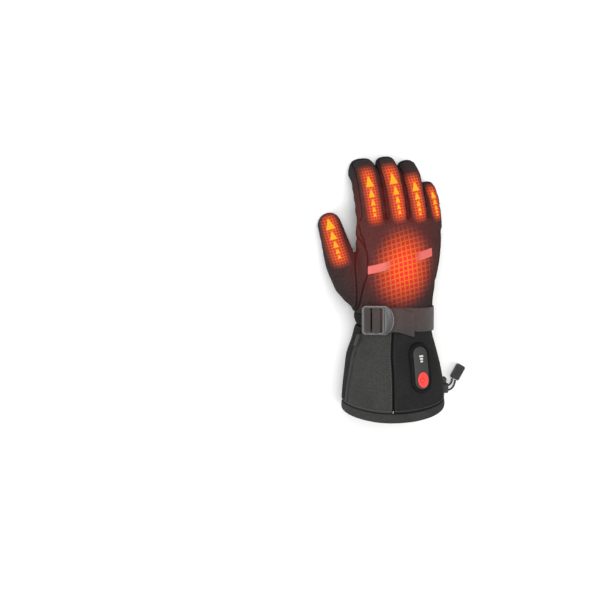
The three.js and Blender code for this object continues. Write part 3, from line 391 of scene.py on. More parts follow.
# Mesh helpers, all in the glove's millimetres
def gridFaces(rows, columns, wrapRows=False, wrapColumns=False):
    faces = []
    for r in range(rows if wrapRows else rows - 1):
        for c in range(columns if wrapColumns else columns - 1):
            r2, c2 = (r + 1) % rows, (c + 1) % columns
            faces.append((r * columns + c, r * columns + c2, r2 * columns + c2, r2 * columns + c))
    return faces


def tubeFaces(rows, sides, start=0):            # a closed tube, its corners numbered from a start
    faces = [tuple(start + i for i in face) for face in gridFaces(rows, sides, wrapColumns=True)]
    faces.append(tuple(start + i for i in reversed(range(sides))))
    faces.append(tuple(start + (rows - 1) * sides + i for i in range(sides)))
    return faces


def addPiece(name, points, faces, finish, replaces=(), told=None):
    points = np.asarray(points, float).reshape(-1, 3)
    mesh = bpy.data.meshes.new(name)
    mesh.from_pydata([tuple(p) for p in toFrame(points)], [], [tuple(int(i) for i in f) for f in faces])
    mesh.validate()
    for key, values in (told or {}).items():
        kept = mesh.attributes.new(key, "FLOAT", "POINT")
        kept.data.foreach_set("value", np.asarray(values, np.float32).ravel())
    mesh.materials.append(finish.material)
    turnOutwards(mesh)
    mesh.polygons.foreach_set("use_smooth", [True] * len(mesh.polygons))
    piece = bpy.data.objects.new(name, mesh)
    scene.collection.objects.link(piece)
    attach(piece, "root")
    if replaces:
        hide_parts(*replaces)
    return piece


def addLoft(name, rings, finish, replaces=(), told=None, closed=False):
    rows, sides = rings.shape[:2]
    faces = gridFaces(rows, sides, True, True) if closed else tubeFaces(rows, sides)
    return addPiece(name, rings, faces, finish, replaces, told)


def turnOutwards(mesh):                         # a closed body whose faces point inwards is turned
    mesh.calc_loop_triangles()
    count = len(mesh.loop_triangles)
    corners = np.empty(count * 3, np.int32)
    mesh.loop_triangles.foreach_get("vertices", corners)
    places = np.empty(len(mesh.vertices) * 3, np.float64)
    mesh.vertices.foreach_get("co", places)
    places = places.reshape(-1, 3)
    a, b, c = [places[corners.reshape(-1, 3)[:, k]] for k in range(3)]
    if np.einsum("ij,ij->i", a, np.cross(b, c)).sum() < 0:
        mesh.flip_normals()


def pointNormals(points, triangles):
    a, b, c = [points[triangles[:, k]] for k in range(3)]
    face = np.cross(b - a, c - a)
    normals = np.zeros_like(points)
    for k in range(3):
        np.add.at(normals, triangles[:, k], face)
    return normals / np.maximum(np.linalg.norm(normals, axis=1), 1e-9)[:, None]


def openEdges(triangles):                       # directed edges that only one triangle has
    edges = np.vstack([triangles[:, [0, 1]], triangles[:, [1, 2]], triangles[:, [2, 0]]])
    keys = np.sort(edges, 1)
    order = np.lexsort((keys[:, 1], keys[:, 0]))
    keys = keys[order]
    same = np.all(keys[1:] == keys[:-1], 1)
    alone = ~(np.r_[False, same] | np.r_[same, False])
    return edges[order][alone]


def thicken(points, triangles, depth, told):    # a skin gets an inner side and a rim
    normals = pointNormals(points, triangles)
    inner = points - normals * depth
    inner[:, 2] = np.maximum(inner[:, 2], np.minimum(depth, points[:, 2] + skinRoom))
    count = len(points)
    rim = openEdges(triangles)
    faces = [tuple(t) for t in triangles] + [tuple(t[::-1] + count) for t in triangles]
    faces += [(b, a, a + count, b + count) for a, b in rim]
    return np.vstack([points, inner]), faces, {key: np.r_[v, v] for key, v in told.items()}


def neighbours(count, triangles):
    edges = np.vstack([triangles[:, [0, 1]], triangles[:, [1, 2]], triangles[:, [2, 0]]])
    edges = np.unique(np.sort(edges, 1), axis=0)
    degree = np.bincount(edges.ravel(), minlength=count).astype(float)

    def average(values):
        total = np.zeros_like(values)
        np.add.at(total, edges[:, 0], values[edges[:, 1]])
        np.add.at(total, edges[:, 1], values[edges[:, 0]])
        return total / np.maximum(degree, 1).reshape(-1, *([1] * (values.ndim - 1)))
    return average


def noiseAt(points, size, seed=0.0):            # soft noise from -1 to 1, in lumps of a size in millimetres
    return np.array([noise.noise(Vector(p / size) + Vector((seed, seed * 0.7, -seed))) for p in points])


# Cords first: two strands from the hem's tab, through the lock, to the pull tab
drawcord = {
    "diameter": 2.6, "steps": 130, "sides": 24, "strands": 4, "twist": 2.6, "relief": 0.1,
    "routes": {
        "drawcord_front": [
            [57.2, -136, 10.2], [59.4, -136.4, 8.6], [62, -137.2, 6.9], [65.4, -138.6, 5.6], [69, -139.8, 5],
            [72.6, -140.5, 4.9], [76, -140.7, 4.9], [81, -140.7, 4.9], [86, -140.7, 4.9], [88.4, -140.5, 4.9],
            [90.8, -139.9, 4.8], [93, -138.5, 4.7], [94.8, -136.4, 4.6], [96.1, -133.7, 4.6],
            [96.9, -130.8, 4.6], [97.5, -128.2, 4.6],
        ],
        "drawcord_back": [
            [57.2, -130, 10.2], [59.4, -130.4, 8.6], [62, -131.2, 6.9], [65.4, -132.5, 5.6], [69, -133.5, 5],
            [72.6, -134.1, 4.9], [76, -134.3, 4.9], [81, -134.3, 4.9], [86, -134.3, 4.9], [88.3, -134.1, 4.9],
            [90.2, -133.3, 4.8], [91.6, -131.9, 4.7], [92.5, -130, 4.6], [93, -127.9, 4.6],
            [93.3, -125.8, 4.6],
        ],
    },
}


def cordFinish():
    finish = Finish("blackCord", roughness=0.6, sheen=0.15)
    braid = finish.told("braid")
    fuzz = finish.grain(3000, 2)
    finish.colour(finish.blend(braid.fade(-0.7, 0.8), (0.004, 0.004, 0.004), (0.024, 0.024, 0.025)))
    finish.bumps((braid * 0.1, 0.9), (fuzz * 0.08, 0.5))
    return finish


def tubeRings(path, tangents, radius, sides):
    side, up = sideAndUp(tangents)
    angles = 2 * math.pi * np.arange(sides) / sides
    radius = np.broadcast_to(radius, (len(path), sides))[..., None]
    return path[:, None] + radius * (np.cos(angles)[None, :, None] * side[:, None]
                                     + np.sin(angles)[None, :, None] * up[:, None])


def addCords():                                 # a braid on each strand, with sealed ends
    finish = cordFinish()
    made = {}
    relief, sides = drawcord["relief"], drawcord["sides"]
    for name, route in drawcord["routes"].items():
        path, tangents, _ = curveThrough(route, drawcord["steps"])
        far = distances(path)
        turn = 2 * math.pi * np.arange(sides) / sides * drawcord["strands"]
        wave = far[:, None] * drawcord["twist"]
        braid = np.sin(wave + turn) * np.sin(wave - turn)
        rings = tubeRings(path, tangents, drawcord["diameter"] / 2 - relief + relief * braid, sides)
        made[name] = addLoft(name + "_strand", rings, finish, [name], {"braid": braid})
        drawcord[name + "Path"] = toFrame(path)
        drawcord[name + "Length"] = float(far[-1]) * mm
    return made


cordPieces = addCords()
print("drawcord strands laid")


# Cloth finishes
heat = {                                        # where the heat shows, in the glove's millimetres
    "centre": (7.2, 31.0), "pitch": 5.75, "reach": (40, 49), "rise": 13, "lean": 5, "bow": 0.0016,
    "spots": {                                  # first arrow's middle, the arrows' far point, width
        "index": ((-28.7, 131), (-21.2, 71), 10.6), "middle": ((0.4, 134), (9.6, 73), 10.6),
        "ring": ((28.5, 124), (36.2, 74), 9.6), "pinky": ((55.0, 113), (61.2, 76), 7.0),
    },
    "thumbSpot": ((-74.2, 81), (-60.0, 22), 12.6),
    "shrink": 0.775, "arrows": 5, "spotPitch": 3.3, "hazeCentre": (-4, 64), "hazeReach": (86, 104),
    "haze": (0.09, 0.0055, 0.003), "pool": (0.3, 0.006, 0.002),    # colours from here on
    "cells": [(1.0, 0.012, 0.001), (0.1, 0.004, 0.002)], "bars": [(1.0, 0.2, 0.003), (0.26, 0.014, 0.002)],
    "spotPool": (0.62, 0.022, 0.002), "spotLines": (1.0, 0.15, 0.002), "arrow": (1.0, 0.47, 0.0),
}


def palmGrid(x, y):                             # the grid's lines, and how far out a place is, 1 at its edge
    dx, dy = x - heat["centre"][0], y - heat["centre"][1]
    rise, lean = heat["rise"] * degrees, heat["lean"] * degrees
    u = dx * math.cos(lean) + dy * math.sin(lean)
    v = dy * math.cos(rise) - dx * math.sin(rise) + dx * dx * heat["bow"]
    lineU = abs((u / heat["pitch"] + 0.5).fract() - 0.5)
    lineV = abs((v / heat["pitch"] + 0.5).fract() - 0.5)
    lines = 1 - lineU.smaller(lineV).fade(0.07, 0.18)
    ru, rv = u / heat["reach"][0], v / heat["reach"][1]
    far = (ru * ru + rv * rv) ** 0.5
    return lines, far


def arrows(finish, x, y, spot):                 # arrow heads that shrink towards a point, and their grid
    (ax, ay), (vx, vy), width = spot
    length = math.hypot(ax - vx, ay - vy)
    ux, uy = (ax - vx) / length, (ay - vy) / length
    dx, dy = x - vx, y - vy
    along = (dx * ux + dy * uy).larger(0.5)
    across = dx * uy - dy * ux
    turn = finish.maths("LOGARITHM", along / length, heat["shrink"]) + 0.5
    step = turn.fract()                         # 0 at the point's end of an arrow, 1 at its base
    rise = (step - 0.05) / 0.85
    half = along * (width / 2 / length) * rise
    inside = (half - abs(across)).fade(-0.25, 0.25)
    inside = inside * (0.92 - step).fade(0, 0.05) * (step - 0.04).fade(0, 0.04)
    near = turn.fade(0, 0.02) * (1 - (turn - heat["arrows"]).fade(-0.05, 0.0))
    spread = abs(across) / (width * 0.98)
    ends = (along - length * 0.16).fade(-3, 12) * (1 - (along - length * 1.14).fade(-2, 12))
    pool = (1 - spread.fade(0.1, 1.15)) * ends
    lineA = abs((along / heat["spotPitch"]).fract() - 0.5)
    lineB = abs((across / heat["spotPitch"] + 0.5).fract() - 0.5)
    lines = (lineA.larger(lineB)).fade(0.27, 0.42)
    return inside * near, pool, lines


def heatColour(finish, grid=False, spots=()):   # haze, then the grid, then each row of arrows
    x, y, z = finish.glovePlace()
    (middleX, middleY), (reachX, reachY) = heat["hazeCentre"], heat["hazeReach"]
    dx, dy = (x - middleX) / reachX, (y - middleY) / reachY
    haze = 1 - ((dx * dx + dy * dy) ** 0.5).fade(0.3, 1.1)
    haze = haze * z.fade(14, 34)
    glow = finish.blend(haze, (0, 0, 0), heat["haze"])
    if grid:
        lines, far = palmGrid(x, y)
        pool = 1 - far.fade(0.1, 1.28)
        glow = finish.blend(1.0, glow, finish.blend(pool * pool, (0, 0, 0), heat["pool"]), "ADD")
        cells = finish.blend(far.fade(0.15, 1.05), *heat["cells"])
        bars = finish.blend(far.fade(0.05, 1.12), *heat["bars"])
        net = finish.blend(lines, cells, bars)
        glow = finish.blend(1 - far.fade(0.72, 1.16), glow, net)
    for spot in spots:
        arrow, pool, lines = arrows(finish, x, y, spot)
        pool = pool * z.fade(16, 29)
        redGlow = finish.blend(pool, (0, 0, 0), heat["spotPool"])
        redGlow = finish.blend(lines * pool * 0.85, redGlow, heat["spotLines"])
        glow = finish.blend(1.0, glow, redGlow, "ADD")
        glow = finish.blend(arrow, glow, heat["arrow"])
    return glow


def clothFinish(name, dark, light, scale=1.0, grid=False, spots=(), hot=False, roughness=0.9, wrinkle=0.25,
                seam=True):
    finish = Finish(name, roughness=roughness, sheen=0.0, specular=0.08)
    heather = finish.grain(1500 * scale, 2, 0.7)
    threads = finish.grain(900 * scale, 1, 0.5, (1, 0.35, 1))
    patches = finish.grain(38, 3, 0.55)
    tone = (heather * 0.55 + threads * 0.45).fade(0.3, 0.7)
    base = finish.blend(tone, dark, light)
    base = finish.blend(patches.fade(0.35, 0.7) * 0.3, base, tuple(c * 0.62 for c in dark))
    if seam:
        edge = finish.told("seam")
        # painted shade: the cloth is darkened within 1.5 mm of each seam, in the groove along it
        base = finish.blend((1 - edge.fade(0.15, 1.5)) * 0.85, base, tuple(c * 0.22 for c in dark))
        # a lighter band on the raised shoulder beside each seam: partly wear, partly a painted highlight
        wearAndHighlight = edge.fade(1.2, 1.9) * (1 - edge.fade(1.9, 3.4)) * patches.fade(0.4, 0.6)
        base = finish.blend(wearAndHighlight * 0.25, base, tuple(c * 1.7 for c in light))
    finish.colour(base)
    finish.rough(roughness - tone * 0.12)
    finish.bumps((patches * wrinkle * 4, 0.5), (threads * 0.22, 0.6), (heather * 0.16, 0.6))
    if hot:
        finish.glow(heatColour(finish, grid, spots))
    return finish


def grey(tone):
    return (tone, tone, tone)


fingerSpots = list(heat["spots"].values())
softDark, softLight = (0.012, 0.011, 0.011), (0.03, 0.028, 0.027)
finishes = {
    "back": clothFinish("backSoftshell", softDark, softLight, grid=True, spots=fingerSpots, hot=True),
    "thumbBack": clothFinish("thumbSoftshell", softDark, softLight, spots=[heat["thumbSpot"]], hot=True),
    "side": clothFinish("sideSoftshell", grey(0.010), (0.025, 0.025, 0.0255), hot=True),
    "front": clothFinish("palmCloth", grey(0.009), grey(0.019), roughness=0.8),
    # the band's own dark cloth, darkened further for the strap's shadow over it: painted shadow
    "band": clothFinish("bandCloth", (0.008, 0.0078, 0.0078), (0.018, 0.0175, 0.0175), wrinkle=0.4,
                        seam=False),
    "cuffLeft": clothFinish("texturedCuffCloth", (0.027, 0.027, 0.0265), (0.05, 0.049, 0.048), 1.1),
    "cuffRight": clothFinish("smoothCuffCloth", grey(0.011), grey(0.021), 1.3),
    "cuffPalm": clothFinish("palmCuffCloth", grey(0.01), grey(0.02), 1.2, wrinkle=0.4),
    "hem": clothFinish("hemBinding", (0.024, 0.024, 0.0235), (0.044, 0.043, 0.042), 1.1, seam=False),
}


def gripFinish():
    finish = Finish("speckledGrip", roughness=0.55, specular=0.5)
    cells = finish.cells(950.0)
    flecks = finish.cells(620.0, 1)
    fleck = finish.split(flecks)[0]
    patches = finish.grain(60, 3, 0.6)
    spot = (1 - cells.fade(0.2, 0.5)) * fleck.fade(0.35, 0.8)
    base = finish.blend(spot, grey(0.02), (0.2, 0.2, 0.198))
    base = finish.blend(patches.fade(0.4, 0.7) * 0.4, base, grey(0.03))
    nest = finish.told("nest")
    rows = [0.0, 2.2, 9.5, 11.7, 19.0]
    stitch = None
    for row in rows:
        line = 1 - abs(nest - row).fade(0.25, 0.75)
        stitch = line if stitch is None else stitch.larger(line)
    # painted shade: the grip darkens within 1.4 mm of its rim, in the seam groove; the stitched rows are dark
    # stitching
    edge = 1 - finish.told("seam").fade(0.15, 1.4)
    dark = stitch.larger(edge)
    finish.colour(finish.blend(dark * 0.9, base, grey(0.008)))
    finish.rough(0.5 + dark * 0.3)
    finish.bumps((stitch * -0.8, 0.9), (spot * 0.12, 0.7), (finish.grain(1800, 2) * 0.1, 0.5))
    return finish


finishes["grip"] = gripFinish()
print("cloth finishes ready")


# Hand: one smooth form of the trunk, the fingers and the thumb, then cut along its seams
handForm = {
    "voxel": 1.7, "trunkSides": 120, "trunkRings": 70, "tubeSides": 56, "tubeSteps": 60, "smooth": 14,
    "webs": 3, "webReach": 9, "webPull": 0.6, "puff": 0.5, "groove": 1.05, "rim": 0.14,
}


def fingerStations(row):
    stations = []
    for reach, drop in curlRows:
        share = max(reach, 0)
        taper = 1 - (1 - fingerTaper) * share
        stations.append((
            palmWidth * (row["x"] + (row["tipX"] - row["x"]) * share),
            crotchesY + longestReach * row["reach"] * reach,
            palmTop * (row["z"] + (row["tipZ"] - row["z"]) * drop),
            palmWidth * row["width"] * taper / 2,
            palmTop * row["depth"] * taper / 2,
        ))
    return np.array(stations)


def thumbStations():
    return np.array([(
        palmWidth * thumb["x"] - thumb["spread"] * out,
        wristSeamY + handLength * thumb["y"] + thumb["length"] * along,
        palmTop * thumb["z"] - thumb["drop"] * drop,
        thumb["width"] * width / 2,
        thumb["depth"] * depth / 2,
    ) for along, out, drop, width, depth in thumbRows])


def tubeLine(stations):
    points, tangents, where = curveThrough(stations[:, :3], handForm["tubeSteps"])
    count = len(stations)
    side, up = sideAndUp(tangents)
    arc = distances(points)
    return {
        "points": points, "tangent": tangents, "side": side, "up": up, "arc": arc,
        "half": np.interp(where, range(count), stations[:, 3]),
        "depth": np.interp(where, range(count), stations[:, 4]),
        "marks": np.interp(range(count), where, arc),
    }


fingerLines = {name: tubeLine(fingerStations(row)) for name, row in fingerRows.items()}
thumbLine = tubeLine(thumbStations())


def tubeBody(line):
    angles = 2 * math.pi * np.arange(handForm["tubeSides"]) / handForm["tubeSides"]
    power = 2 / fingerPower
    c, s = signedPower(np.cos(angles), power), signedPower(np.sin(angles), power)
    rings = []
    last = len(line["points"]) - 1
    steps = [(i, 1.0, 0.0) for i in range(last + 1)]
    steps += [(last, math.cos(a), math.sin(a)) for a in np.linspace(0, 1.54, 16)[1:]]
    for i, shrink, ahead in steps:
        centre = line["points"][i] + line["tangent"][i] * ahead * line["depth"][i]
        ring = (centre + np.outer(c, line["side"][i]) * line["half"][i] * shrink
                + np.outer(s, line["up"][i]) * line["depth"][i] * shrink)
        ring[:, 2] = np.maximum(ring[:, 2], 0)
        rings.append(ring)
    return np.array(rings)


def formOfHand():
    angles = 2 * math.pi * np.arange(handForm["trunkSides"]) / handForm["trunkSides"]
    ys = np.linspace(handEndY - 5, crotchesY, handForm["trunkRings"])
    bodies = [np.array([ringPoints(sectionAt(y), angles) for y in ys])]
    bodies += [tubeBody(line) for line in (*fingerLines.values(), thumbLine)]
    points, faces = [], []
    for rings in bodies:
        start = sum(len(p) for p in points)
        rows, columns = rings.shape[:2]
        points.append(rings.reshape(-1, 3))
        faces += tubeFaces(rows, columns, start)
    mesh = bpy.data.meshes.new("handForm")
    mesh.from_pydata([tuple(p) for p in np.vstack(points)], [], faces)
    body = bpy.data.objects.new("handForm", mesh)
    scene.collection.objects.link(body)
    melt = body.modifiers.new("melt", "REMESH")
    melt.mode = "VOXEL"
    melt.voxel_size = handForm["voxel"]
    bpy.context.view_layer.update()
    done = body.evaluated_get(bpy.context.evaluated_depsgraph_get()).to_mesh()
    done.calc_loop_triangles()
    verts = np.empty(len(done.vertices) * 3)
    done.vertices.foreach_get("co", verts)
    tris = np.empty(len(done.loop_triangles) * 3, np.int32)
    done.loop_triangles.foreach_get("vertices", tris)
    bpy.data.objects.remove(body)
    verts, tris = verts.reshape(-1, 3), tris.reshape(-1, 3)
    average = neighbours(len(verts), tris)
    for step in range(handForm["smooth"]):
        verts = verts + (0.5 if step % 2 == 0 else -0.5) * (average(verts) - verts)
    for _ in range(handForm["webs"]):           # soft webs between the fingers
        web = np.clip(1 - np.abs(verts[:, 1] - crotchesY - 1) / handForm["webReach"], 0, 1)[:, None]
        verts = verts + handForm["webPull"] * web * (average(verts) - verts)
    return verts, tris


def trunkAngles(points):
    section = sectionsAt(points[:, 1])
    across = (points[:, 0] - section["x"]) / section["half"]
    middle = (section["top"] + section["bottom"]) / 2
    height = (section["top"] - section["bottom"]) / 2
    rise = (points[:, 2] + section["lean"] * across - middle) / height
    angle = np.arctan2(signedPower(rise, trunkPower / 2), signedPower(across, trunkPower / 2)) / degrees
    radius = np.hypot(points[:, 0] - section["x"], points[:, 2] - middle)
    return angle, radius * degrees


def tubeAngles(points, line):
    gaps = points[:, None, :] - line["points"][None]
    nearest = np.argmin(np.einsum("ijk,ijk->ij", gaps, gaps), 1)
    rows = np.arange(len(points))
    gap = gaps[rows, nearest]
    a = np.einsum("ij,ij->i", gap, line["side"][nearest])
    b = np.einsum("ij,ij->i", gap, line["up"][nearest])
    ahead = np.einsum("ij,ij->i", gap, line["tangent"][nearest])
    u, v = a / line["half"][nearest], b / line["depth"][nearest]
    angle = np.arctan2(signedPower(v, fingerPower / 2), signedPower(u, fingerPower / 2)) / degrees
    size = (np.abs(u) ** fingerPower + np.abs(v) ** fingerPower) ** (1 / fingerPower)
    return angle, np.hypot(a, b) * degrees, line["arc"][nearest] + ahead, size


def plainLine(xs, ys, y):
    order = np.argsort(ys)
    return np.interp(y, np.array(ys)[order], np.array(xs)[order])


trunkSeams = {
    "backPinky": 28, "frontPinky": 330, "raised": 34, "raisedFrom": 3, "raisedOver": 6, "webbing": 0.6,
}
fingerSeams = {"turn": 38, "overTip": 13, "underTip": 3, "near": 1.25, "base": 0.6}
thumbTurns = (-164, 8)                          # where the seams of its lower half run, in degrees
thumbBends = {"inner": 24, "outer": 4, "palm": 4}    # how far each of its seams takes to turn along the thumb


def seamFields(points):                         # how far each point is inside each seam line, in millimetres
    x, y = points[:, 0], points[:, 1]
    side = fingerSeams["turn"]
    fields = {}
    downs = [crotchY + (handEndY - 2 - crotchY) * d for d in thumbSeams["down"]]
    for key, bend in thumbBends.items():
        xs = [palmWidth * v for v in thumbSeams[key]]
        below = plainLine(xs, downs, y)
        above = np.interp(y, [crotchY + thumb["length"] * a for a in thumbAhead["ahead"]],
                          [palmWidth * v for v in thumbAhead["out"]])
        share = np.clip((y - crotchY + 2) / bend, 0, 1)
        fields[key] = below * (1 - share) + above * share - x
    angle, perDegree = trunkAngles(points)
    high = np.clip((y - crotchY + trunkSeams["raisedFrom"]) / trunkSeams["raisedOver"], 0, 1)
    backTop = np.where(angle < -90, angle + 360, angle)
    index = fingerRows["index"]
    fingerSeam = palmWidth * (index["x"] - index["width"] * fingerSeams["base"])
    seamX = np.interp(y, [crotchY - 6, crotchY, crotchesY],
                      [-palmWidth, palmWidth * thumbSeams["inner"][0], fingerSeam])
    ahead = crotchesY + trunkSeams["webbing"] - y
    back = np.minimum((backTop - trunkSeams["backPinky"]) * perDegree, (180 - backTop) * perDegree)
    back = np.minimum(np.minimum(back, x - seamX), ahead)
    full = np.where(angle < 0, angle + 360, angle)
    low = 180 + trunkSeams["raised"] * high
    front = np.minimum((full - low) * perDegree, (trunkSeams["frontPinky"] - full) * perDegree)
    front = np.minimum(front, ahead)
    for line in fingerLines.values():
        turn, wide, along, size = tubeAngles(points, line)
        near = np.where(size < fingerSeams["near"], 0, -20)
        start, end = line["marks"][1], line["marks"][5]
        ends = np.minimum(along - start, end - along)
        across = np.minimum((turn - side) * wide, (180 - side - turn) * wide)
        back = np.maximum(back, near + np.minimum(across, ends + fingerSeams["overTip"]))
        across = np.minimum((turn + 180 - side) * wide, (-side - turn) * wide)
        front = np.maximum(front, near + np.minimum(across, ends + fingerSeams["underTip"]))
    turn, wide, along, size = tubeAngles(points, thumbLine)
    lower = np.minimum((turn - thumbTurns[0]) * wide, (thumbTurns[1] - turn) * wide)
    fields["lower"] = np.minimum(lower, thumbLine["arc"][-1] + 4 - along)
    fields["back"], fields["front"] = back, front
    for key, seam in (("gripTop", gripTop), ("gripBottom", gripBottom)):
        fields[key] = wristSeamY + handLength * seam["share"] + seam["slope"] * x - y
    names = list(fingerRows)
    for left, right in zip(names, names[1:]):
        edges = []
        for name, sign in ((left, 1), (right, -1)):
            row = fingerRows[name]
            share = (y - crotchesY) / (longestReach * row["reach"])
            edges.append(palmWidth * (row["x"] + (row["tipX"] - row["x"]) * share + sign * row["width"] / 2))
        fields["past " + left] = (edges[0] + edges[1]) / 2 - x
    fields["wrist"] = y - handEndY
    return fields


panels = {                                      # each panel from the fields, positive inside it
    "back": lambda f: np.minimum(f["back"], -f["inner"]),
    "thumbFront": lambda f: np.minimum(f["palm"], f["lower"]),
    "thumbBack": lambda f: np.minimum(f["outer"], -f["lower"]),
    "gusset": lambda f: np.minimum(np.minimum(f["inner"], -f["outer"]), -f["lower"]),
    "front": lambda f: np.minimum(np.minimum(f["front"], -f["palm"]), np.maximum(-f["inner"], f["lower"])),
}


def cutSkin(points, triangles, fields, level):  # splits the triangles that a field's zero line crosses
    values = level(fields).copy()
    values[np.abs(values) < 0.2] = 0
    signs = np.sign(values).astype(int)
    corner = signs[triangles]
    crossed = (corner.max(1) > 0) & (corner.min(1) < 0)
    keep = triangles[~crossed].tolist()
    made, starts, ends, shares = {}, [], [], []

    def between(a, b):
        key = (a, b) if a < b else (b, a)
        if key not in made:
            made[key] = len(points) + len(starts)
            starts.append(key[0])
            ends.append(key[1])
            shares.append(values[key[0]] / (values[key[0]] - values[key[1]]))
        return made[key]

    for tri in triangles[crossed].tolist():
        s = [signs[i] for i in tri]
        if 0 in s:
            k = s.index(0)
            z, p, q = tri[k], tri[(k + 1) % 3], tri[(k + 2) % 3]
            m = between(p, q)
            keep += [[z, p, m], [z, m, q]]
        else:
            k = next(k for k in range(3) if s[k] != s[(k + 1) % 3] and s[k] != s[(k + 2) % 3])
            lone, p, q = tri[k], tri[(k + 1) % 3], tri[(k + 2) % 3]
            m, n = between(lone, p), between(lone, q)
            keep += [[lone, m, n], [m, p, q], [m, q, n]]
    starts, ends, shares = np.array(starts, int), np.array(ends, int), np.array(shares)
    if len(starts):
        points = np.vstack([points, points[starts] + (points[ends] - points[starts]) * shares[:, None]])
        fields = {k: np.r_[v, v[starts] + (v[ends] - v[starts]) * shares] for k, v in fields.items()}
    return points, np.array(keep, np.int64), fields


creases = {                                     # height, then lump size or waves for each millimetre
    "dents": (0.55, 34), "fine": (0.22, 13), "wrist": (0.9, 0.42), "wristReach": 26, "fingers": (0.32, 0.42),
}


def handWrinkles(points):                       # soft dents and folds of the cloth, outwards in millimetres
    x, y = points[:, 0], points[:, 1]
    (dents, dentSize), (fine, fineSize) = creases["dents"], creases["fine"]
    rise = dents * noiseAt(points * (1, 0.8, 1), dentSize) + fine * noiseAt(points, fineSize, 3.1)
    (wrist, wristWaves), (finger, fingerWaves) = creases["wrist"], creases["fingers"]
    wristShare = np.clip(1 - (y - handEndY) / creases["wristReach"], 0, 1) ** 1.5
    rise = rise + wristShare * wrist * np.sin(x * wristWaves + 2.2 * noiseAt(points, 30, 5.0))
    fingerShare = np.clip((y - crotchesY - 4) / 8, 0, 1)
    rise = rise + fingerShare * finger * np.sin(y * fingerWaves + 2.5 * noiseAt(points, 22, 8.0))
    return rise


def insetRim(points, triangles, reach):         # a panel's rim is drawn in, so that it clears the next one
    rim = np.unique(openEdges(triangles))
    average = neighbours(len(points), triangles)(points)
    pull = average[rim] - points[rim]
    size = np.linalg.norm(pull, axis=1)[:, None]
    points = points.copy()
    points[rim] += pull * np.minimum(reach / np.maximum(size, 1e-6), 0.5)
    return points


def addHand():
    points, triangles = formOfHand()
    print("hand form:", len(points), "points")
    fields = seamFields(points)
    average = neighbours(len(points), triangles)
    for key in ("back", "front", "lower"):
        for _ in range(4):
            fields[key] = 0.5 * fields[key] + 0.5 * average(fields[key])
    points, triangles, fields = cutSkin(points, triangles, fields, lambda f: f["wrist"])
    triangles = triangles[fields["wrist"][triangles].sum(1) > 0]
    for level in panels.values():
        points, triangles, fields = cutSkin(points, triangles, fields, level)
    names = list(panels)
    inside = np.array([panels[name](fields)[triangles].mean(1) for name in names])
    owner = np.where(inside.max(0) > 0, inside.argmax(0), len(names))
    side = -np.max([panels[name](fields) for name in names], 0)
    levels = {**{name: panels[name](fields) for name in names}, "side": side}
    seam = np.clip(np.abs(np.max(list(levels.values()), 0)), 0, 9)
    onFront = levels["front"] > -0.5
    for key in ("gripTop", "gripBottom"):
        seam = np.where(onFront, np.minimum(seam, np.abs(fields[key])), seam)
    for key in fields:
        if key.startswith("past "):
            seam = np.where(side > -0.5, np.minimum(seam, np.abs(fields[key])), seam)
    normals = pointNormals(points, triangles)
    rise = handWrinkles(points) * np.clip(seam / 3, 0.15, 1)
    rise += handForm["puff"] * np.clip(seam / 5, 0, 1) - handForm["groove"] * np.exp(-(seam / 1.3) ** 2)
    points = points + normals * rise[:, None]
    offFloor(points)
    parts = {names[k]: triangles[owner == k] for k in range(len(names))}
    parts["side"] = triangles[owner == len(names)]
    return points, fields, seam, parts


def takePart(points, fields, seam, triangles):  # a panel's own corners alone
    used, where = np.unique(triangles, return_inverse=True)
    return (points[used], where.reshape(-1, 3), {k: v[used] for k, v in fields.items()}, seam[used])


def dividePart(part, level):                    # a panel cut in two: inside the line, outside it
    points, triangles, fields, seam = part
    values = {**fields, "seamKept": seam}
    points, triangles, values = cutSkin(points, triangles, values, level)
    seam = values.pop("seamKept")
    inside = level(values)[triangles].mean(1) > 0
    return [takePart(points, values, seam, triangles[pick]) for pick in (inside, ~inside)]


gripNest = [(-18, 31), (-22, 12), (38, 22)]     # corners of the inner triangle on the palm


def nestDistance(points):                       # how far out of the palm's rounded triangle, seen in plan
    corners = np.array(gripNest, float)
    middle = corners.mean(0)
    plan = points[:, :2]
    out = np.full(len(points), -1e9)
    for i in range(3):
        a, b = corners[i], corners[(i + 1) % 3]
        normal = np.array([b[1] - a[1], a[0] - b[0]])
        normal /= np.linalg.norm(normal)
        if normal @ (middle - a) > 0:
            normal = -normal
        out = np.maximum(out, (plan - a) @ normal)
    return out


def addPanel(name, part, finish, node, extra=None):
    points, triangles, _, seam = part
    points = insetRim(points, triangles, handForm["rim"])
    told = {"seam": seam}
    if extra:
        told.update(extra(points))
    points, faces, told = thicken(points, triangles, padWall - skinRoom, told)
    return addPiece(name, points, faces, finish, [node], told)


def addHandPanels():
    points, fields, seam, parts = addHand()
    taken = {key: takePart(points, fields, seam, tris) for key, tris in parts.items()}
    addPanel("hand_back_cloth", taken["back"], finishes["back"], "hand_back")
    addPanel("thumb_back_cloth", taken["thumbBack"], finishes["thumbBack"], "thumb_back")
    addPanel("thumb_front_cloth", taken["thumbFront"], finishes["front"], "thumb_front")
    addPanel("thumb_gusset_cloth", taken["gusset"], finishes["side"], "thumb_gusset")
    palm, fronts = dividePart(taken["front"], lambda f: f["gripTop"])
    heel, grip = dividePart(palm, lambda f: f["gripBottom"])
    addPanel("finger_fronts_cloth", fronts, finishes["front"], "finger_fronts")
    addPanel("palm_grip_leather", grip, finishes["grip"], "palm_grip",
             extra=lambda p: {"nest": nestDistance(p)})
    addPanel("palm_heel_cloth", heel, finishes["front"], "palm_heel")
    rest = taken["side"]
    for name in ("index", "middle", "ring"):
        mine, rest = dividePart(rest, lambda f: f["past " + name])
        addPanel(name + "_side_cloth", mine, finishes["side"], name + "_side")
    addPanel("pinky_side_cloth", rest, finishes["side"], "pinky_side")


addHandPanels()
print("hand panels sewn")

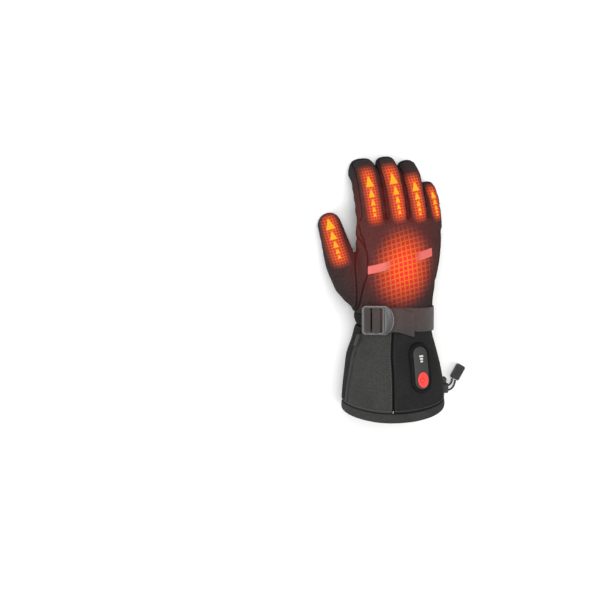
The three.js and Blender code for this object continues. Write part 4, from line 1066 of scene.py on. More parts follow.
# Cuff: three panels and the gathered wrist band above them
cuff = {"rows": 96, "puff": 0.4, "groove": 0.8}
cuffCreases = {                                 # height, reach, then waves for each degree or millimetre
    "pleats": (1.5, 15, 0.33), "sags": (0.8, 20, 0.2),
    "hemWaves": (0.45, 13, 0.24), "zipFolds": (1.3, 20, 0.34),
}
cuffDents = [(0.75, 42, 6.0), (0.3, 17, 9.0)]    # height, lump size, seed
band = {
    "rows": 22, "sides": 330, "gathers": 31, "drawn": 1.1, "lump": 12, "sway": 3, "fold": 0.75,
    "stitchRows": 3, "rowDepth": 0.45, "rowShare": 0.35, "backRow": 0.3, "backFold": 0.15, "edge": 0.9,
}


def zipTurn(y):                                 # where the zip runs, in degrees round the cuff
    share = (wristSeamY - y) / cuffLength
    return cuffSeam["zipTop"] + (cuffSeam["zipHem"] - cuffSeam["zipTop"]) * share


def gridTriangles(rows, columns, wrapColumns=False):
    quads = np.array(gridFaces(rows, columns, wrapColumns=wrapColumns))
    return np.vstack([quads[:, [0, 1, 2]], quads[:, [0, 2, 3]]])


def wallPatch(ys, low, high, columns):          # a patch of the glove's surface between two turning lines
    section = sectionColumn(ys)
    share = np.linspace(0, 1, columns)[None, :]
    perMm = 1 / (0.8 * section["half"]) / degrees
    gap = 0.7 * seamGap * perMm
    turn = (low[:, None] + gap) * (1 - share) + (high[:, None] - gap) * share
    points = ringPoints(section, turn * degrees)
    width = (high - low)[:, None] / perMm
    return points, turn, np.minimum(share, 1 - share) * width


def cuffFolds(points, turn, seam):              # pleats under the elastic, dents and the hem's pull
    x, y = points[:, 0], points[:, 1]
    below = wristSeamY - y
    palm = np.clip(-np.sin(turn * degrees) * 1.4 + 0.1, 0, 1)
    height, reach, waves = cuffCreases["pleats"]
    pleat = np.exp(-below / reach) * palm * height
    rise = pleat * np.sin(turn * waves + 1.4 * noiseAt(points, 26, 4.0))
    height, reach, waves = cuffCreases["sags"]
    top = np.exp(-below / reach) * (1 - palm)
    rise = rise + top * height * np.sin(x * waves + 2 * noiseAt(points, 30, 2.0))
    for height, size, seed in cuffDents:
        rise = rise + height * noiseAt(points, size, seed)
    height, reach, waves = cuffCreases["hemWaves"]
    near = np.exp(-((y - cuffEndY - 8) / reach) ** 2)
    rise = rise + near * height * np.sin(turn * waves + 0.8)
    height, reach, waves = cuffCreases["zipFolds"]
    side = np.exp(-((turn - zipTurn(y)) / 9) ** 2) * np.exp(-((below - 22) / reach) ** 2)
    rise = rise + side * height * np.sin(below * waves)
    return rise * np.clip(seam / 4, 0.1, 1)


def addCuffPanel(name, low, high, columns, finish, node):
    ys = np.linspace(wristSeamY, cuffEndY, cuff["rows"])
    points, turn, edge = wallPatch(ys, low(ys), high(ys), columns)
    ends = np.minimum(ys.max() - ys, ys - ys.min())[:, None]
    seam = np.minimum(edge, ends).ravel()
    points, turn = points.reshape(-1, 3), turn.ravel()
    triangles = gridTriangles(len(ys), columns)
    normals = pointNormals(points, triangles)
    if (normals[:, 2] * np.sin(turn * degrees)).sum() < 0:
        triangles = triangles[:, ::-1]
        normals = -normals
    rise = cuffFolds(points, turn, seam) + cuff["puff"] * np.clip(seam / 6, 0, 1)
    rise = rise - cuff["groove"] * np.exp(-(seam / 1.2) ** 2)
    points = points + normals * rise[:, None]
    offFloor(points)
    points, faces, kept = thicken(points, triangles, cuffWall - skinRoom, {"seam": seam})
    return addPiece(name, points, faces, finish, [node], kept)


def addCuff():
    centre = lambda y: np.full_like(y, cuffSeam["centre"])
    side = lambda y: np.full_like(y, cuffSeam["side"])
    around = lambda y: np.full_like(y, 360 + cuffSeam["side"])
    for name, low, high, columns, finish, slot, node in (
        ("cuff_left_cloth", centre, zipTurn, 70, "cuffLeft", "cuff_texture", "cuff_front_left"),
        ("cuff_right_cloth", side, centre, 120, "cuffRight", "softshell", "cuff_front_right"),
        ("cuff_palm_cloth", zipTurn, around, 170, "cuffPalm", "palm_cloth", "cuff_palm"),
    ):
        addCuffPanel(name, low, high, columns, finishes[finish], node)


def addWristBand():
    ys = np.linspace(wristSeamY + seamGap, handEndY - seamGap, band["rows"])
    angles = 2 * math.pi * np.arange(band["sides"]) / band["sides"]
    section = sectionColumn(ys)
    palm = np.maximum(0, -np.sin(angles)) ** 0.5
    drawn = -band["drawn"] * palm[None]
    base = ringPoints(section, angles[None], drawn)
    shift = 0.5 * noiseAt(base.reshape(-1, 3) * (1, 0.4, 1), band["lump"], 3.3).reshape(base.shape[:2])
    fold = np.sin(band["gathers"] * 2 * angles[None] + band["sway"] * shift)
    share = np.linspace(-1, 1, len(ys))[:, None]
    rows = band["rowDepth"] * np.cos(share * math.pi * band["stitchRows"])
    back = band["backRow"] * np.cos(share * math.pi) + band["backFold"] * fold
    rise = palm * (band["fold"] * fold + rows * band["rowShare"]) + (1 - palm) * back
    rise = rise - band["edge"] * np.abs(share) ** 6
    outer = ringPoints(section, angles[None], drawn + rise)
    inner = ringPoints(section, angles[None], drawn - cuffWall, cuffWall)
    return addLoft("wrist_band_cloth", np.vstack([outer, inner[::-1]]), finishes["band"],
                   ["wrist_band"], closed=True)


# Hem: a rounded band turned over the cuff's mouth
hem = {"steps": 34, "sides": 260, "rows": [     # shares of the band's width and of the hem's wall
    (0, -0.02), (0.05, 0.13), (0.16, 0.19), (0.4, 0.22), (0.66, 0.2), (0.86, 0.06), (0.975, -0.16),
    (1, -0.42), (0.97, -0.66), (0.86, -0.8), (0.4, -0.82), (0, -0.8),
]}


def addHem():
    angles = 2 * math.pi * np.arange(hem["sides"]) / hem["sides"]
    section = sectionAt(cuffEndY)
    rows, _, _ = curveThrough([(down, out, 0) for down, out in hem["rows"]], hem["steps"])
    rings = []
    for down, out, _ in rows:
        grow = out * hemWall
        ring = ringPoints(section, angles, grow, max(0, -grow))
        ring[:, 1] -= seamGap + hemBand * down
        rings.append(ring)
    rings = np.array(rings)
    flat = rings.reshape(-1, 3)
    middle = rings.mean(0)
    lumps = 0.28 * noiseAt(flat, 24, 7.0) + 0.12 * noiseAt(flat, 9, 2.0)
    out = flat.reshape(rings.shape) - middle
    size = np.maximum(np.linalg.norm(out, axis=2, keepdims=True), 1e-6)
    rings = rings + out / size * lumps.reshape(rings.shape[:2])[..., None] * 0.7
    offFloor(rings)
    return addLoft("hem_binding", rings, finishes["hem"], ["hem_band"], closed=True)


# Stitches: short threads laid along a line, each a small bent spindle
stitch = {
    "length": 2.3, "gap": 1.0, "width": 0.5, "sides": 6, "rings": (-1, -0.72, 0, 0.72, 1), "lift": 0.95,
    "fromHem": 3.2, "fromSeam": 2.1,
}
seamTape = {"width": 6, "thickness": 0.6, "room": 0.2, "rows": 90}


def addStitches(name, line, normals, finish):
    steps = distances(line)
    pitch = stitch["length"] + stitch["gap"]
    points, faces = [], []
    angles = 2 * math.pi * np.arange(stitch["sides"]) / stitch["sides"]
    for far in np.arange(pitch / 2, steps[-1] - pitch / 2, pitch):
        at = np.array([np.interp(far, steps, line[:, k]) for k in range(3)])
        ahead = np.array([np.interp(far + 0.5, steps, line[:, k]) for k in range(3)]) - at
        ahead /= np.linalg.norm(ahead)
        up = np.array([np.interp(far, steps, normals[:, k]) for k in range(3)])
        up -= ahead * (up @ ahead)
        up /= np.linalg.norm(up)
        side = np.cross(ahead, up)
        start = len(points)
        for share in stitch["rings"]:
            bulge = (1 - share * share) ** 0.5 if abs(share) < 1 else 0.15
            middle = at + ahead * share * stitch["length"] / 2 + up * (0.16 * bulge - 0.1)
            ring = middle + stitch["width"] / 2 * (0.35 + 0.65 * bulge) * (
                np.cos(angles)[:, None] * side + np.sin(angles)[:, None] * up)
            points += list(ring)
        faces += tubeFaces(len(stitch["rings"]), stitch["sides"], start)
    points = np.array(points)
    offFloor(points)
    return addPiece(name, points, faces, finish)


def threadFinish():
    finish = Finish("darkThread", roughness=0.65, sheen=0.1)
    twist = finish.grain(2600, 2)
    finish.colour(finish.blend(twist, (0.05, 0.05, 0.049), (0.1, 0.1, 0.098)))
    finish.bumps((twist * 0.06, 0.6))
    return finish


def surfaceLine(ys, turns, lift):               # a line over the cuff, with the way outwards at each point
    section = sectionsAt(ys)
    low = ringPoints(section, turns * degrees, lift)
    return low, ringPoints(section, turns * degrees, lift + 1) - low


def addCuffStitches():
    finish = threadFinish()
    turns = np.linspace(0, 360, 400)
    line, out = surfaceLine(np.full_like(turns, cuffEndY + stitch["fromHem"]), turns, stitch["lift"])
    addStitches("hem_stitches", line, out, finish)
    ys = np.linspace(wristSeamY - 2, cuffEndY + 3, 120)
    perMm = 1 / (sectionsAt(ys)["half"] * degrees)
    line, out = surfaceLine(ys, cuffSeam["centre"] + stitch["fromSeam"] * perMm, stitch["lift"] + 0.05)
    addStitches("centre_seam_stitches", line, out, finish)


def addSeamTape():                              # inside the cuff, over the back of its centre seam
    ys = np.linspace(wristSeamY - 3, cuffEndY + 2, seamTape["rows"])
    section = sectionsAt(ys)
    perMm = 1 / (section["half"] * degrees)
    outer = -cuffWall - seamTape["room"]
    places = [(seamTape["width"] * share, outer) for share in (-0.5, -0.25, 0, 0.25, 0.5)]
    places += [(across, lift - seamTape["thickness"]) for across, lift in reversed(places)]
    lines = [ringPoints(section, (cuffSeam["centre"] + across * perMm) * degrees, lift)
             for across, lift in places]
    rings = np.stack(lines, 1)
    told = {"seam": np.full(rings.shape[0] * rings.shape[1], 5.0)}
    addLoft("centre_seam_tape", rings, finishes["front"], [], told)


addWristBand()
addCuff()
addSeamTape()
addHem()
addCuffStitches()
print("cuff and hem sewn")


# Webbing: a woven strip through the buckle, and the short anchor that holds the buckle
strap = {
    "y": -32, "reachY": 18, "fall": 0.085, "tailFall": 0.36, "tailX": 19.5, "endTurn": -58, "width": 29,
    "thickness": 1.4, "across": 15, "steps": 250,
}
buckle = {
    "x": -26.5, "tilt": 20, "length": 26.8, "width": 34.8, "thickness": 3, "tongue": 10.6, "tongueWidth": 27,
    "corner": 4, "bevel": 0.7, "slots": [(2.2, 4.5), (7.6, 13.2), (18.6, 24)], "anchor": 1.5, "dome": 2.1,
    "domeGrid": (26, 49), "domeSide": 0.93, "sharp": 38,
}


def strapRound():                               # the section that clears the wrist under the webbing
    near = sectionsAt(strap["y"] + strap["reachY"] * np.array([-1, -0.5, 0, 0.5, 1]))
    right, left = (near["x"] + near["half"]).max(), (near["x"] - near["half"]).min()
    return {"y": 0.0, "x": (right + left) / 2, "half": (right - left) / 2, "top": near["top"].max(),
            "bottom": near["bottom"].min(), "lean": 0.0, "bow": 0.0}


strapSection = strapRound()
layer = strap["thickness"] + clearance
firstLayer = clearance + strap["thickness"] / 2


def turnAtX(x):
    share = (x - strapSection["x"]) / strapSection["half"]
    return float(np.arccos(signedPower(share, trunkPower / 2)) / degrees)


def onWrist(turn, lift):
    return ringPoints(strapSection, turn * degrees, lift)


buckleSeat = onWrist(turnAtX(buckle["x"]), 2 * layer + clearance)
tilt = buckle["tilt"] * degrees
buckleAlong = np.array([math.cos(tilt), 0, math.sin(tilt)])
buckleOut = np.array([-math.sin(tilt), 0, math.cos(tilt)])


def inBuckle(u, n):
    return buckleSeat + buckleAlong * (u - buckle["length"] / 2) + buckleOut * n


def overBar(start, stop, footStart, footStop):
    turn = strap["thickness"] / 2 + clearance
    top, corner = buckle["thickness"] + turn, 0.72 * turn
    fall, foot = top - corner * 0.42, buckle["thickness"] - 0.6
    return [(start - turn, footStart), (start - turn, foot), (start - corner, fall), (start, top),
            (stop, top), (stop + corner, fall), (stop + turn, foot), (stop + turn, footStop)]


strapStartX = buckle["x"] + buckle["length"] / 2 + buckle["tongue"]


def webAt(turn, lift, fall):
    point = onWrist(turn, lift)
    x = onWrist(0, lift)[0] if turn < 0 else max(point[0], strapStartX)
    point[1] = -fall * (x - strapStartX)
    return point


def webRings(path, width, thickness, steps, y):
    path, _, _ = curveThrough(path, steps)
    ahead = np.gradient(path, axis=0)
    ahead[:, 1] = 0
    ahead /= np.linalg.norm(ahead, axis=1)[:, None]
    out = np.stack([-ahead[:, 2], 0 * ahead[:, 0], ahead[:, 0]], 1)
    far = distances(path)
    shares = np.linspace(-1, 1, strap["across"])
    section = [(v, 1 - 0.35 * abs(v) ** 10) for v in shares]
    section += [(v, -up) for v, up in reversed(section)]
    rings = np.array([[p + n * up * thickness / 2 for v, up in section] for p, n in zip(path, out)])
    across = np.array([v for v, _ in section]) * width / 2
    rings[..., 1] = y + path[:, None, 1] + across[None, :]
    return rings, {"along": np.repeat(far, len(section)), "across": np.tile(across, len(path))}, far[-1]


def webFinish(name, dark, light):
    finish = Finish(name, roughness=0.75, sheen=0.15, specular=0.35)
    along, across = finish.told("along"), finish.told("across")
    ribs = (across * 5.6).sine()
    picks = (along * 4.9 + (across * 2.8).sine() * 1.5).sine()
    weave = ribs * 0.5 + picks * 0.5
    heather = finish.grain(1300, 3, 0.7)
    edge = abs(across).fade(12.6, 14.4)
    tone = (weave * 0.3 + heather).fade(0.25, 0.85)
    base = finish.blend(tone, dark, light)
    x, y, z = finish.glovePlace()
    base = finish.blend(edge * 0.35, base, tuple(c * 0.5 for c in dark))
    base = finish.blend(finish.grain(90, 3).fade(0.35, 0.75) * 0.35, base, dark)
    finish.colour(base)
    finish.bumps((finish.grain(120, 3) * 0.4, 0.4), (weave * 0.16, 0.9), (heather * 0.1, 0.6))
    # painted glow: a faint red glow of the heated back spilling onto the top of the webbing
    redGlow = y.fade(-60, -16) * (1 - abs(x - 8).fade(18, 62)) * z.fade(30, 45)
    finish.glow(finish.blend(redGlow, (0, 0, 0), (0.03, 0.004, 0.003)))
    return finish


def addWebbing():
    under = -layer - clearance - strap["thickness"] / 2
    tail = -clearance - strap["thickness"] / 2
    slotA, slotB, slotC = buckle["slots"]
    end, tongue = buckle["length"], buckle["tongue"]
    turnIn = turnAtX(strapStartX)
    path = [webAt(turn, firstLayer, strap["fall"]) for turn in np.arange(strap["endTurn"], turnIn - 4, 9)]
    through = [(end + tongue, under - 1.3), (end, under), (slotB[1] + 0.8, under),
               (slotB[1] - 0.5, under + 0.5)]
    through += overBar(slotB[1], slotC[0], -0.6, tail + 0.9)
    through += [(slotC[0] + 2, tail + 0.15), (slotC[1] + 1, tail), (end + 0.6 * tongue, tail),
                (end + tongue + 2, tail - 0.5)]
    path += [inBuckle(u, n) * (1, 0, 1) for u, n in through]
    for share in (0.35, 0.7, 1):
        turn = turnIn + (turnAtX(strap["tailX"]) - turnIn) * share
        path.append(webAt(turn, firstLayer + layer + clearance, strap["tailFall"]))
    finish = webFinish("heatheredWebbing", (0.006, 0.005, 0.0048), (0.058, 0.047, 0.045))
    rings, told, length = webRings(path, strap["width"], strap["thickness"], strap["steps"], strap["y"])
    print("strap length", round(float(length), 1), "mm")
    addLoft("strap_webbing", rings, finish, ["wrist_strap"], told)
    anchor = [(-buckle["anchor"], tail - 1.6), (slotA[0], tail - 0.2), *overBar(slotA[1], slotB[0], 0, -1.2),
              (slotB[0] + 0.4, under + 0.5), (slotB[0] - 1.4, under), (slotA[0] - 1, under - 0.4),
              (-buckle["anchor"], under - 1.8)]
    path = [inBuckle(u, n) * (1, 0, 1) for u, n in anchor]
    rings, told, _ = webRings(path, strap["width"], strap["thickness"], 120, strap["y"])
    addLoft("anchor_webbing", rings, finish, ["buckle_anchor"], told)


def extrudedShape(name, outline, holes, thickness, bevel):  # a plate with rounded edges, its bottom at zero
    shape = bpy.data.curves.new(name, "CURVE")
    shape.dimensions = "2D"
    shape.fill_mode = "BOTH"
    shape.extrude = thickness / 2 - bevel
    shape.bevel_depth = bevel
    shape.bevel_resolution = 3
    shape.offset = -bevel
    for loop in (outline, *holes):
        spline = shape.splines.new("POLY")
        spline.points.add(len(loop) - 1)
        for point, (x, y) in zip(spline.points, loop):
            point.co = (x, y, 0, 1)
        spline.use_cyclic_u = True
    body = bpy.data.objects.new(name, shape)
    scene.collection.objects.link(body)
    bpy.context.view_layer.update()
    mesh = body.evaluated_get(bpy.context.evaluated_depsgraph_get()).to_mesh()
    points = np.array([v.co[:] for v in mesh.vertices])
    faces = [tuple(f.vertices) for f in mesh.polygons]
    bpy.data.objects.remove(body)
    points[:, 2] += thickness / 2
    return points, faces


def roundedLoop(left, low, right, high, radius, turns=8):
    loop = []
    for cx, cy, start in ((right - radius, low + radius, -90), (right - radius, high - radius, 0),
                          (left + radius, high - radius, 90), (left + radius, low + radius, 180)):
        for i in range(turns + 1):
            angle = (start + 90 * i / turns) * degrees
            loop.append((cx + radius * math.cos(angle), cy + radius * math.sin(angle)))
    return loop


def plasticFinish(name, colour, roughness, grainSize=900, specular=0.5, edge=None):
    finish = Finish(name, roughness=roughness, specular=specular)
    grain = finish.grain(grainSize, 3, 0.6)
    blotch = finish.grain(70, 2)
    base = finish.blend(blotch * 0.35, colour, tuple(c * 0.65 for c in colour))
    if edge:
        # painted highlight: the pale edge colour lights the rims picked out by the edge number
        base = finish.blend(finish.told("edge").fade(0.12, 0.7), base, edge)
    finish.colour(base)
    finish.rough(roughness + grain * 0.14)
    finish.bumps((grain * 0.08, 0.4))
    return finish


def tongueEdge(v):                              # how far the tongue reaches past the frame, across it
    half, wide = buckle["width"] / 2, buckle["tongueWidth"] / 2
    t = np.linspace(0, 1, 200)
    u = 3 * t * (1 - t) * buckle["tongue"] * 1.33
    w = -half * (1 - t) ** 3 - 3 * wide * (1 - t) ** 2 * t + 3 * wide * (1 - t) * t * t + half * t ** 3
    return np.interp(v, w, u)


def buckleOutline():
    half, corner = buckle["width"] / 2, buckle["corner"]
    outline = [(corner - corner * math.sin(a), half - corner + corner * math.cos(a))
               for a in np.linspace(0, math.pi / 2, 9)]
    outline += [(u, -v) for u, v in reversed(outline)]
    across = np.linspace(-1, 1, 44)
    across = half * 0.999 * np.sign(across) * (1 - (1 - np.abs(across)) ** 1.3)
    return outline + [(buckle["length"] + tongueEdge(v), v) for v in across]


def buckleDome(start):                          # the tongue's raised top, its corners numbered from a start
    rows, columns = buckle["domeGrid"]
    side = buckle["domeSide"]
    dome, under = [], []
    for s in np.linspace(0, 1, rows):
        for share in np.linspace(-side, side, columns):
            v = share * buckle["width"] / 2
            u = buckle["length"] - 1.1 + s * (tongueEdge(v) + 0.5)
            rise = (max(0, 1 - (2 * s - 1) ** 2)) ** 0.5 * (1 - (share / side) ** 2) ** 0.5
            dome.append((u, v, buckle["thickness"] - 0.12 + buckle["dome"] * rise))
            under.append((u, v, buckle["thickness"] - 0.5))
    skin = gridFaces(rows, columns)
    count = rows * columns
    rim = ([(0, c) for c in range(columns)] + [(r, columns - 1) for r in range(1, rows)]
           + [(rows - 1, c) for c in range(columns - 2, -1, -1)] + [(r, 0) for r in range(rows - 2, 0, -1)])
    rim = [r * columns + c for r, c in rim]
    faces = [tuple(start + i for i in f) for f in skin]
    faces += [tuple(start + count + i for i in reversed(f)) for f in skin]
    faces += [(start + a, start + count + a, start + count + b, start + b)
              for a, b in zip(rim, rim[1:] + rim[:1])]
    return dome + under, faces


def addBuckle():
    slot = strap["width"] / 2 + clearance + 0.1
    holes = [roundedLoop(a, -slot, b, slot, 0.8, 4) for a, b in buckle["slots"]]
    points, faces = extrudedShape("buckleFrame", buckleOutline(), holes, buckle["thickness"], buckle["bevel"])
    start = len(points)
    dome, domeFaces = buckleDome(start)
    faces += domeFaces
    local = np.vstack([points, dome])
    # the frame's sides and bevels get edge 1, where the pale edge colour paints a highlight along the rims
    flat = np.abs(local[:, 2] - buckle["thickness"] / 2) < buckle["thickness"] / 2 - 0.05
    edge = np.where(flat, 1.0, 0.0)
    edge[start:] = 0
    middle = buckle["length"] / 2
    placed = (buckleSeat * (1, 0, 1) + np.array([0, strap["y"], 0])
              + np.outer(local[:, 0] - middle, buckleAlong) + np.outer(local[:, 2], buckleOut))
    placed[:, 1] = strap["y"] + local[:, 1]
    # the last colour is a painted highlight along the frame's rims
    finish = plasticFinish("greyBucklePlastic", (0.045, 0.043, 0.044), 0.3, 700, 0.6, (0.2, 0.19, 0.19))
    piece = addPiece("buckle_frame", placed, faces, finish, ["buckle"], {"edge": edge})
    soften(piece, buckle["sharp"])


def soften(piece, sharp):                       # smooth shading, but not over edges sharper than an angle
    piece.data.set_sharp_from_angle(angle=sharp * degrees)


addWebbing()
addBuckle()
print("strap and buckle fitted")


# Strap keeper: a sewn cloth loop over the webbing
keeper = {"width": 11, "thickness": 1.2, "length": 38, "turn": -38, "rows": 61, "across": 17}


def addKeeper():
    middle = strap["y"] - strap["fall"] * (onWrist(0, firstLayer)[0] - strapStartX)
    rows, columns = keeper["rows"], keeper["across"]
    shares = np.linspace(-1, 1, rows)
    lifted = np.clip((0.84 - np.abs(shares)) / 0.07, 0, 1)
    lifted = lifted * lifted * (3 - 2 * lifted)
    rings = []
    across = np.linspace(-1, 1, columns)
    for share, high in zip(shares, lifted):
        y = middle + share * keeper["length"] / 2
        near = sectionAt(y)
        low, top = [], []
        for section, lift, weight in (
            (near, 2 * clearance, 1 - high), (strapSection, layer + clearance, high),
        ):
            spread = keeper["width"] / 2 / (0.62 * section["half"])
            turns = keeper["turn"] * degrees + across * spread
            edge = 1 - 0.35 * np.abs(across) ** 8
            section = {**section, "bow": 0, "y": y}
            low.append(weight * ringPoints(section, turns, lift))
            top.append(weight * ringPoints(section, turns, lift + keeper["thickness"] * edge))
        rings.append(np.vstack([sum(top), sum(low)[::-1]]))
    told = {"seam": np.tile(np.r_[1 - np.abs(across), 1 - np.abs(across[::-1])] * keeper["width"] / 2, rows)}
    addLoft("keeper_cloth", np.array(rings), finishes["front"], ["strap_keeper"], told)


# Control panel: a padded ridge, a hard face, three light bars and the power button
panel = {
    "x": 25, "y": -91, "width": 18, "length": 50, "thickness": 2.8, "crown": 0.5, "ridge": 4.2,
    "ridgeHeight": 3.9, "button": (12.4, 18), "buttonOffset": -13.4, "buttonHeight": 1.5,
    "leds": [4.8, 3.9, 3], "ledHeight": 2, "ledPitch": 3, "ledOffset": 14, "ledLift": 0.5,
    "ridgeRows": [                              # shares of the ridge's width and height
        (0, 0), (0, 0.45), (0.06, 0.8), (0.22, 0.98), (0.4, 1), (0.6, 0.93), (0.78, 0.72), (0.92, 0.36),
        (1, 0),
    ],
}


def pillLoop(width, length, turns=24, straights=16):
    radius, run = width / 2, length / 2 - width / 2
    loop = []
    for side in (1, -1):
        for i in range(turns):
            angle = (i / turns + (0 if side > 0 else 1)) * math.pi
            loop.append((radius * math.cos(angle), radius * math.sin(angle) + side * run))
        for i in range(straights):
            loop.append((-side * radius, side * run * (1 - 2 * i / straights)))
    return np.array(loop)


def ovalLoop(width, length, count=64):
    angles = 2 * math.pi * np.arange(count) / count
    return np.stack([width / 2 * np.cos(angles), length / 2 * np.sin(angles)], 1)


def boxLoop(width, length, radius=0.5):
    return np.array(roundedLoop(-width / 2, -length / 2, width / 2, length / 2, radius, 4))


def padRings(middle, loopAt, rows):             # rings over the back of the cuff, each (drawn in, lift)
    rings = []
    for inward, lift in rows:
        loop = loopAt(inward)
        rings.append(backPoint(middle[0] + loop[:, 0], middle[1] + loop[:, 1], lift))
    return np.array(rings)


def addRidge(spot):
    def loopAt(out):
        wider = 2 * (clearance + panel["ridge"] * out)
        return pillLoop(panel["width"] + wider, panel["length"] + wider, 40, 24)

    profile, _, _ = curveThrough([(out, up, 0) for out, up in panel["ridgeRows"]], 26)
    rings = padRings(spot, loopAt, [(out, clearance + panel["ridgeHeight"] * up) for out, up, _ in profile])
    lumps = noiseAt(rings.reshape(-1, 3), 7, 4.0).reshape(rings.shape[:2])
    rings[..., 2] += 0.16 * lumps * np.clip(profile[:, 1], 0, 1)[:, None]
    told = {"seam": np.repeat(profile[:, 0] * 6 + 1.5, rings.shape[1])}
    ridgeCloth = clothFinish("ridgeCloth", grey(0.005), grey(0.011), 1.3, seam=False, roughness=0.75)
    addLoft("panel_ridge", rings, ridgeCloth, ["controller_surround"], told, closed=True)


def addFace(spot):
    width, length = panel["width"], panel["length"]
    top = clearance + panel["thickness"]
    rows = [(0, clearance), (0, top - 0.9), (0.08, top - 0.5), (0.3, top - 0.15), (0.7, top)]
    rows += [(w, top + panel["crown"] * math.sin((w - 0.7) / (width / 2 - 0.9) * math.pi / 2))
             for w in np.linspace(1.6, width / 2 - 0.3, 8)]
    rings = padRings(spot, lambda w: pillLoop(width - 2 * w, length - 2 * w), rows)
    face = plasticFinish("greyPanelPlastic", (0.031, 0.0325, 0.031), 0.42, 1400, 0.3)
    addLoft("panel_face", rings, face, ["controller_face"])


def addButton(spot, top):
    height = panel["buttonHeight"]
    rows = [(0, top - 0.2), (0, top + height * 0.45), (0.12, top + height * 0.62), (0.4, top + height * 0.74)]
    inmost = 6.2
    rows += [(w, top + height * (0.74 + 0.2 * math.sin(w / inmost * math.pi / 2)))
             for w in np.linspace(0.9, inmost, 9)]
    wide, tall = panel["button"]
    rings = padRings(spot, lambda w: ovalLoop(wide - 2 * w, tall - 2 * w * tall / wide), rows)
    addLoft("button_cap", rings, buttonFinish(spot), ["power_button"])


def addLights(x, y, top):
    lens = Finish("paleLens", roughness=0.25, specular=0.6)
    cloudy = lens.grain(900, 2)
    lens.colour(lens.blend(cloudy, (0.42, 0.42, 0.41), (0.55, 0.55, 0.54)))
    lens.glow(lens.blend(cloudy, (0.3, 0.3, 0.29), (0.4, 0.4, 0.39)), 0.3)
    lens.bumps((cloudy * 0.03, 0.4))
    for i, wide in enumerate(panel["leds"]):
        spot = (x, y - panel["ledPitch"] * i)
        rows = [(0, -0.3), (0, 0.2), (0.08, 0.36), (0.25, 0.45), (0.6, panel["ledLift"])]
        rings = padRings(spot, lambda w: boxLoop(wide - 2 * w, panel["ledHeight"] - 2 * w, 0.6 - w * 0.7),
                         [(w, top + up) for w, up in rows])
        addLoft("light_bar_" + str(i + 1), rings, lens, ["led_bar_" + str(i + 1)])


def addPanelPieces():
    x, y = panel["x"], panel["y"]
    top = 2 * clearance + panel["thickness"] + panel["crown"]
    addRidge((x, y))
    addFace((x, y))
    addButton((x, y + panel["buttonOffset"]), top)
    addLights(x, y + panel["ledOffset"], top)


def buttonFinish(spot):                         # soft red rubber with a plain power sign pressed into it
    finish = Finish("softRedButton", roughness=0.45, specular=0.25)
    x, y, _ = finish.glovePlace()
    dx, dy = x - spot[0], y - spot[1]
    ring = (dx * dx + dy * dy) ** 0.5
    circle = 1 - abs(ring - 2.7).fade(0.28, 0.5)
    gap = abs(dx).fade(0.75, 0.95).larger(dy.lessThan(0))
    bar = (1 - abs(dx).fade(0.28, 0.5)) * (1 - abs(dy - 2.5).fade(1.3, 1.55))
    sign = (circle * gap).larger(bar)
    grain = finish.grain(1500, 2)
    base = finish.blend(grain * 0.4, (0.8, 0.05, 0.042), (0.68, 0.036, 0.03))
    finish.colour(finish.blend(sign * 0.85, base, (0.19, 0.012, 0.012)))
    finish.rough(0.42 + grain * 0.12)
    finish.glow((0.2, 0.008, 0.006, 1), 0.6)
    finish.bumps((sign * -0.25, 0.8), (grain * 0.04, 0.5))
    return finish


# Reflective ribbon: the heat glows through its middle, and elsewhere it glows pale red as a painted
# reflection
ribbon = {
    "from": (-33.6, 27.4), "to": (45.0, 46.0), "width": 10, "thickness": 0.7, "rows": 90,
    "hidden": (7.5, 13, 25),                    # the glow's middle, how far it is full and how far it reaches
}


def ribbonFinish():
    finish = Finish("paleReflectiveRibbon", roughness=0.35, specular=0.25)
    x, _, _ = finish.glovePlace()
    beads = finish.grain(2400, 2)
    middle, start, stop = ribbon["hidden"]
    hidden = 1 - abs(x - middle).fade(start, stop)
    pale = finish.blend(beads, (0.2, 0.055, 0.048), (0.27, 0.08, 0.07))
    finish.colour(finish.blend(hidden, pale, (0.012, 0.008, 0.008)))
    finish.rough(0.34 + beads * 0.15)
    finish.bumps((beads * 0.06, 0.6))
    # painted reflection: outside its middle the ribbon glows a fixed pale red
    through = finish.blend(hidden, (0.5, 0.07, 0.055), heatColour(finish, grid=True))
    finish.glow(through)
    return finish


def addRibbon():
    share = np.linspace(0, 1, ribbon["rows"])[:, None]
    x = ribbon["from"][0] + (ribbon["to"][0] - ribbon["from"][0]) * share
    y = ribbon["from"][1] + (ribbon["to"][1] - ribbon["from"][1]) * share
    v = np.linspace(-1, 1, 11)[None]
    edge = ribbon["thickness"] * (1 - 0.5 * np.abs(v) ** 8)
    y = y + v * ribbon["width"] / 2
    x, y, edge = np.broadcast_arrays(x, y, edge)
    top = backPoint(x, y, clearance + 0.35 + edge)
    low = backPoint(x, y, clearance)
    rings = np.concatenate([top, low[:, ::-1]], 1)
    addLoft("reflective_ribbon_cloth", rings, ribbonFinish(), ["reflective_strip"])


# Zip: two cloth lips that meet over the coil, and the webbing pull at its top
zipLine = {
    "width": 5, "thickness": 0.9, "start": 9, "endGap": 2, "rows": 200, "coil": 0.55, "lips": 0.62,
    "pullWidth": 5.4, "pullLength": 13, "pull": 1.6, "pullRows": 40,
}


def zipRings(ys, width, lift, heights):
    section = sectionColumn(ys)
    across = np.linspace(-0.5, 0.5, heights.shape[1])[None]
    turns = (zipTurn(ys)[:, None] + across * width / (0.62 * section["half"]) / degrees) * degrees
    top = ringPoints(section, turns, lift + heights)
    low = ringPoints(section, turns, lift)
    return np.concatenate([top, low[:, ::-1]], 1)


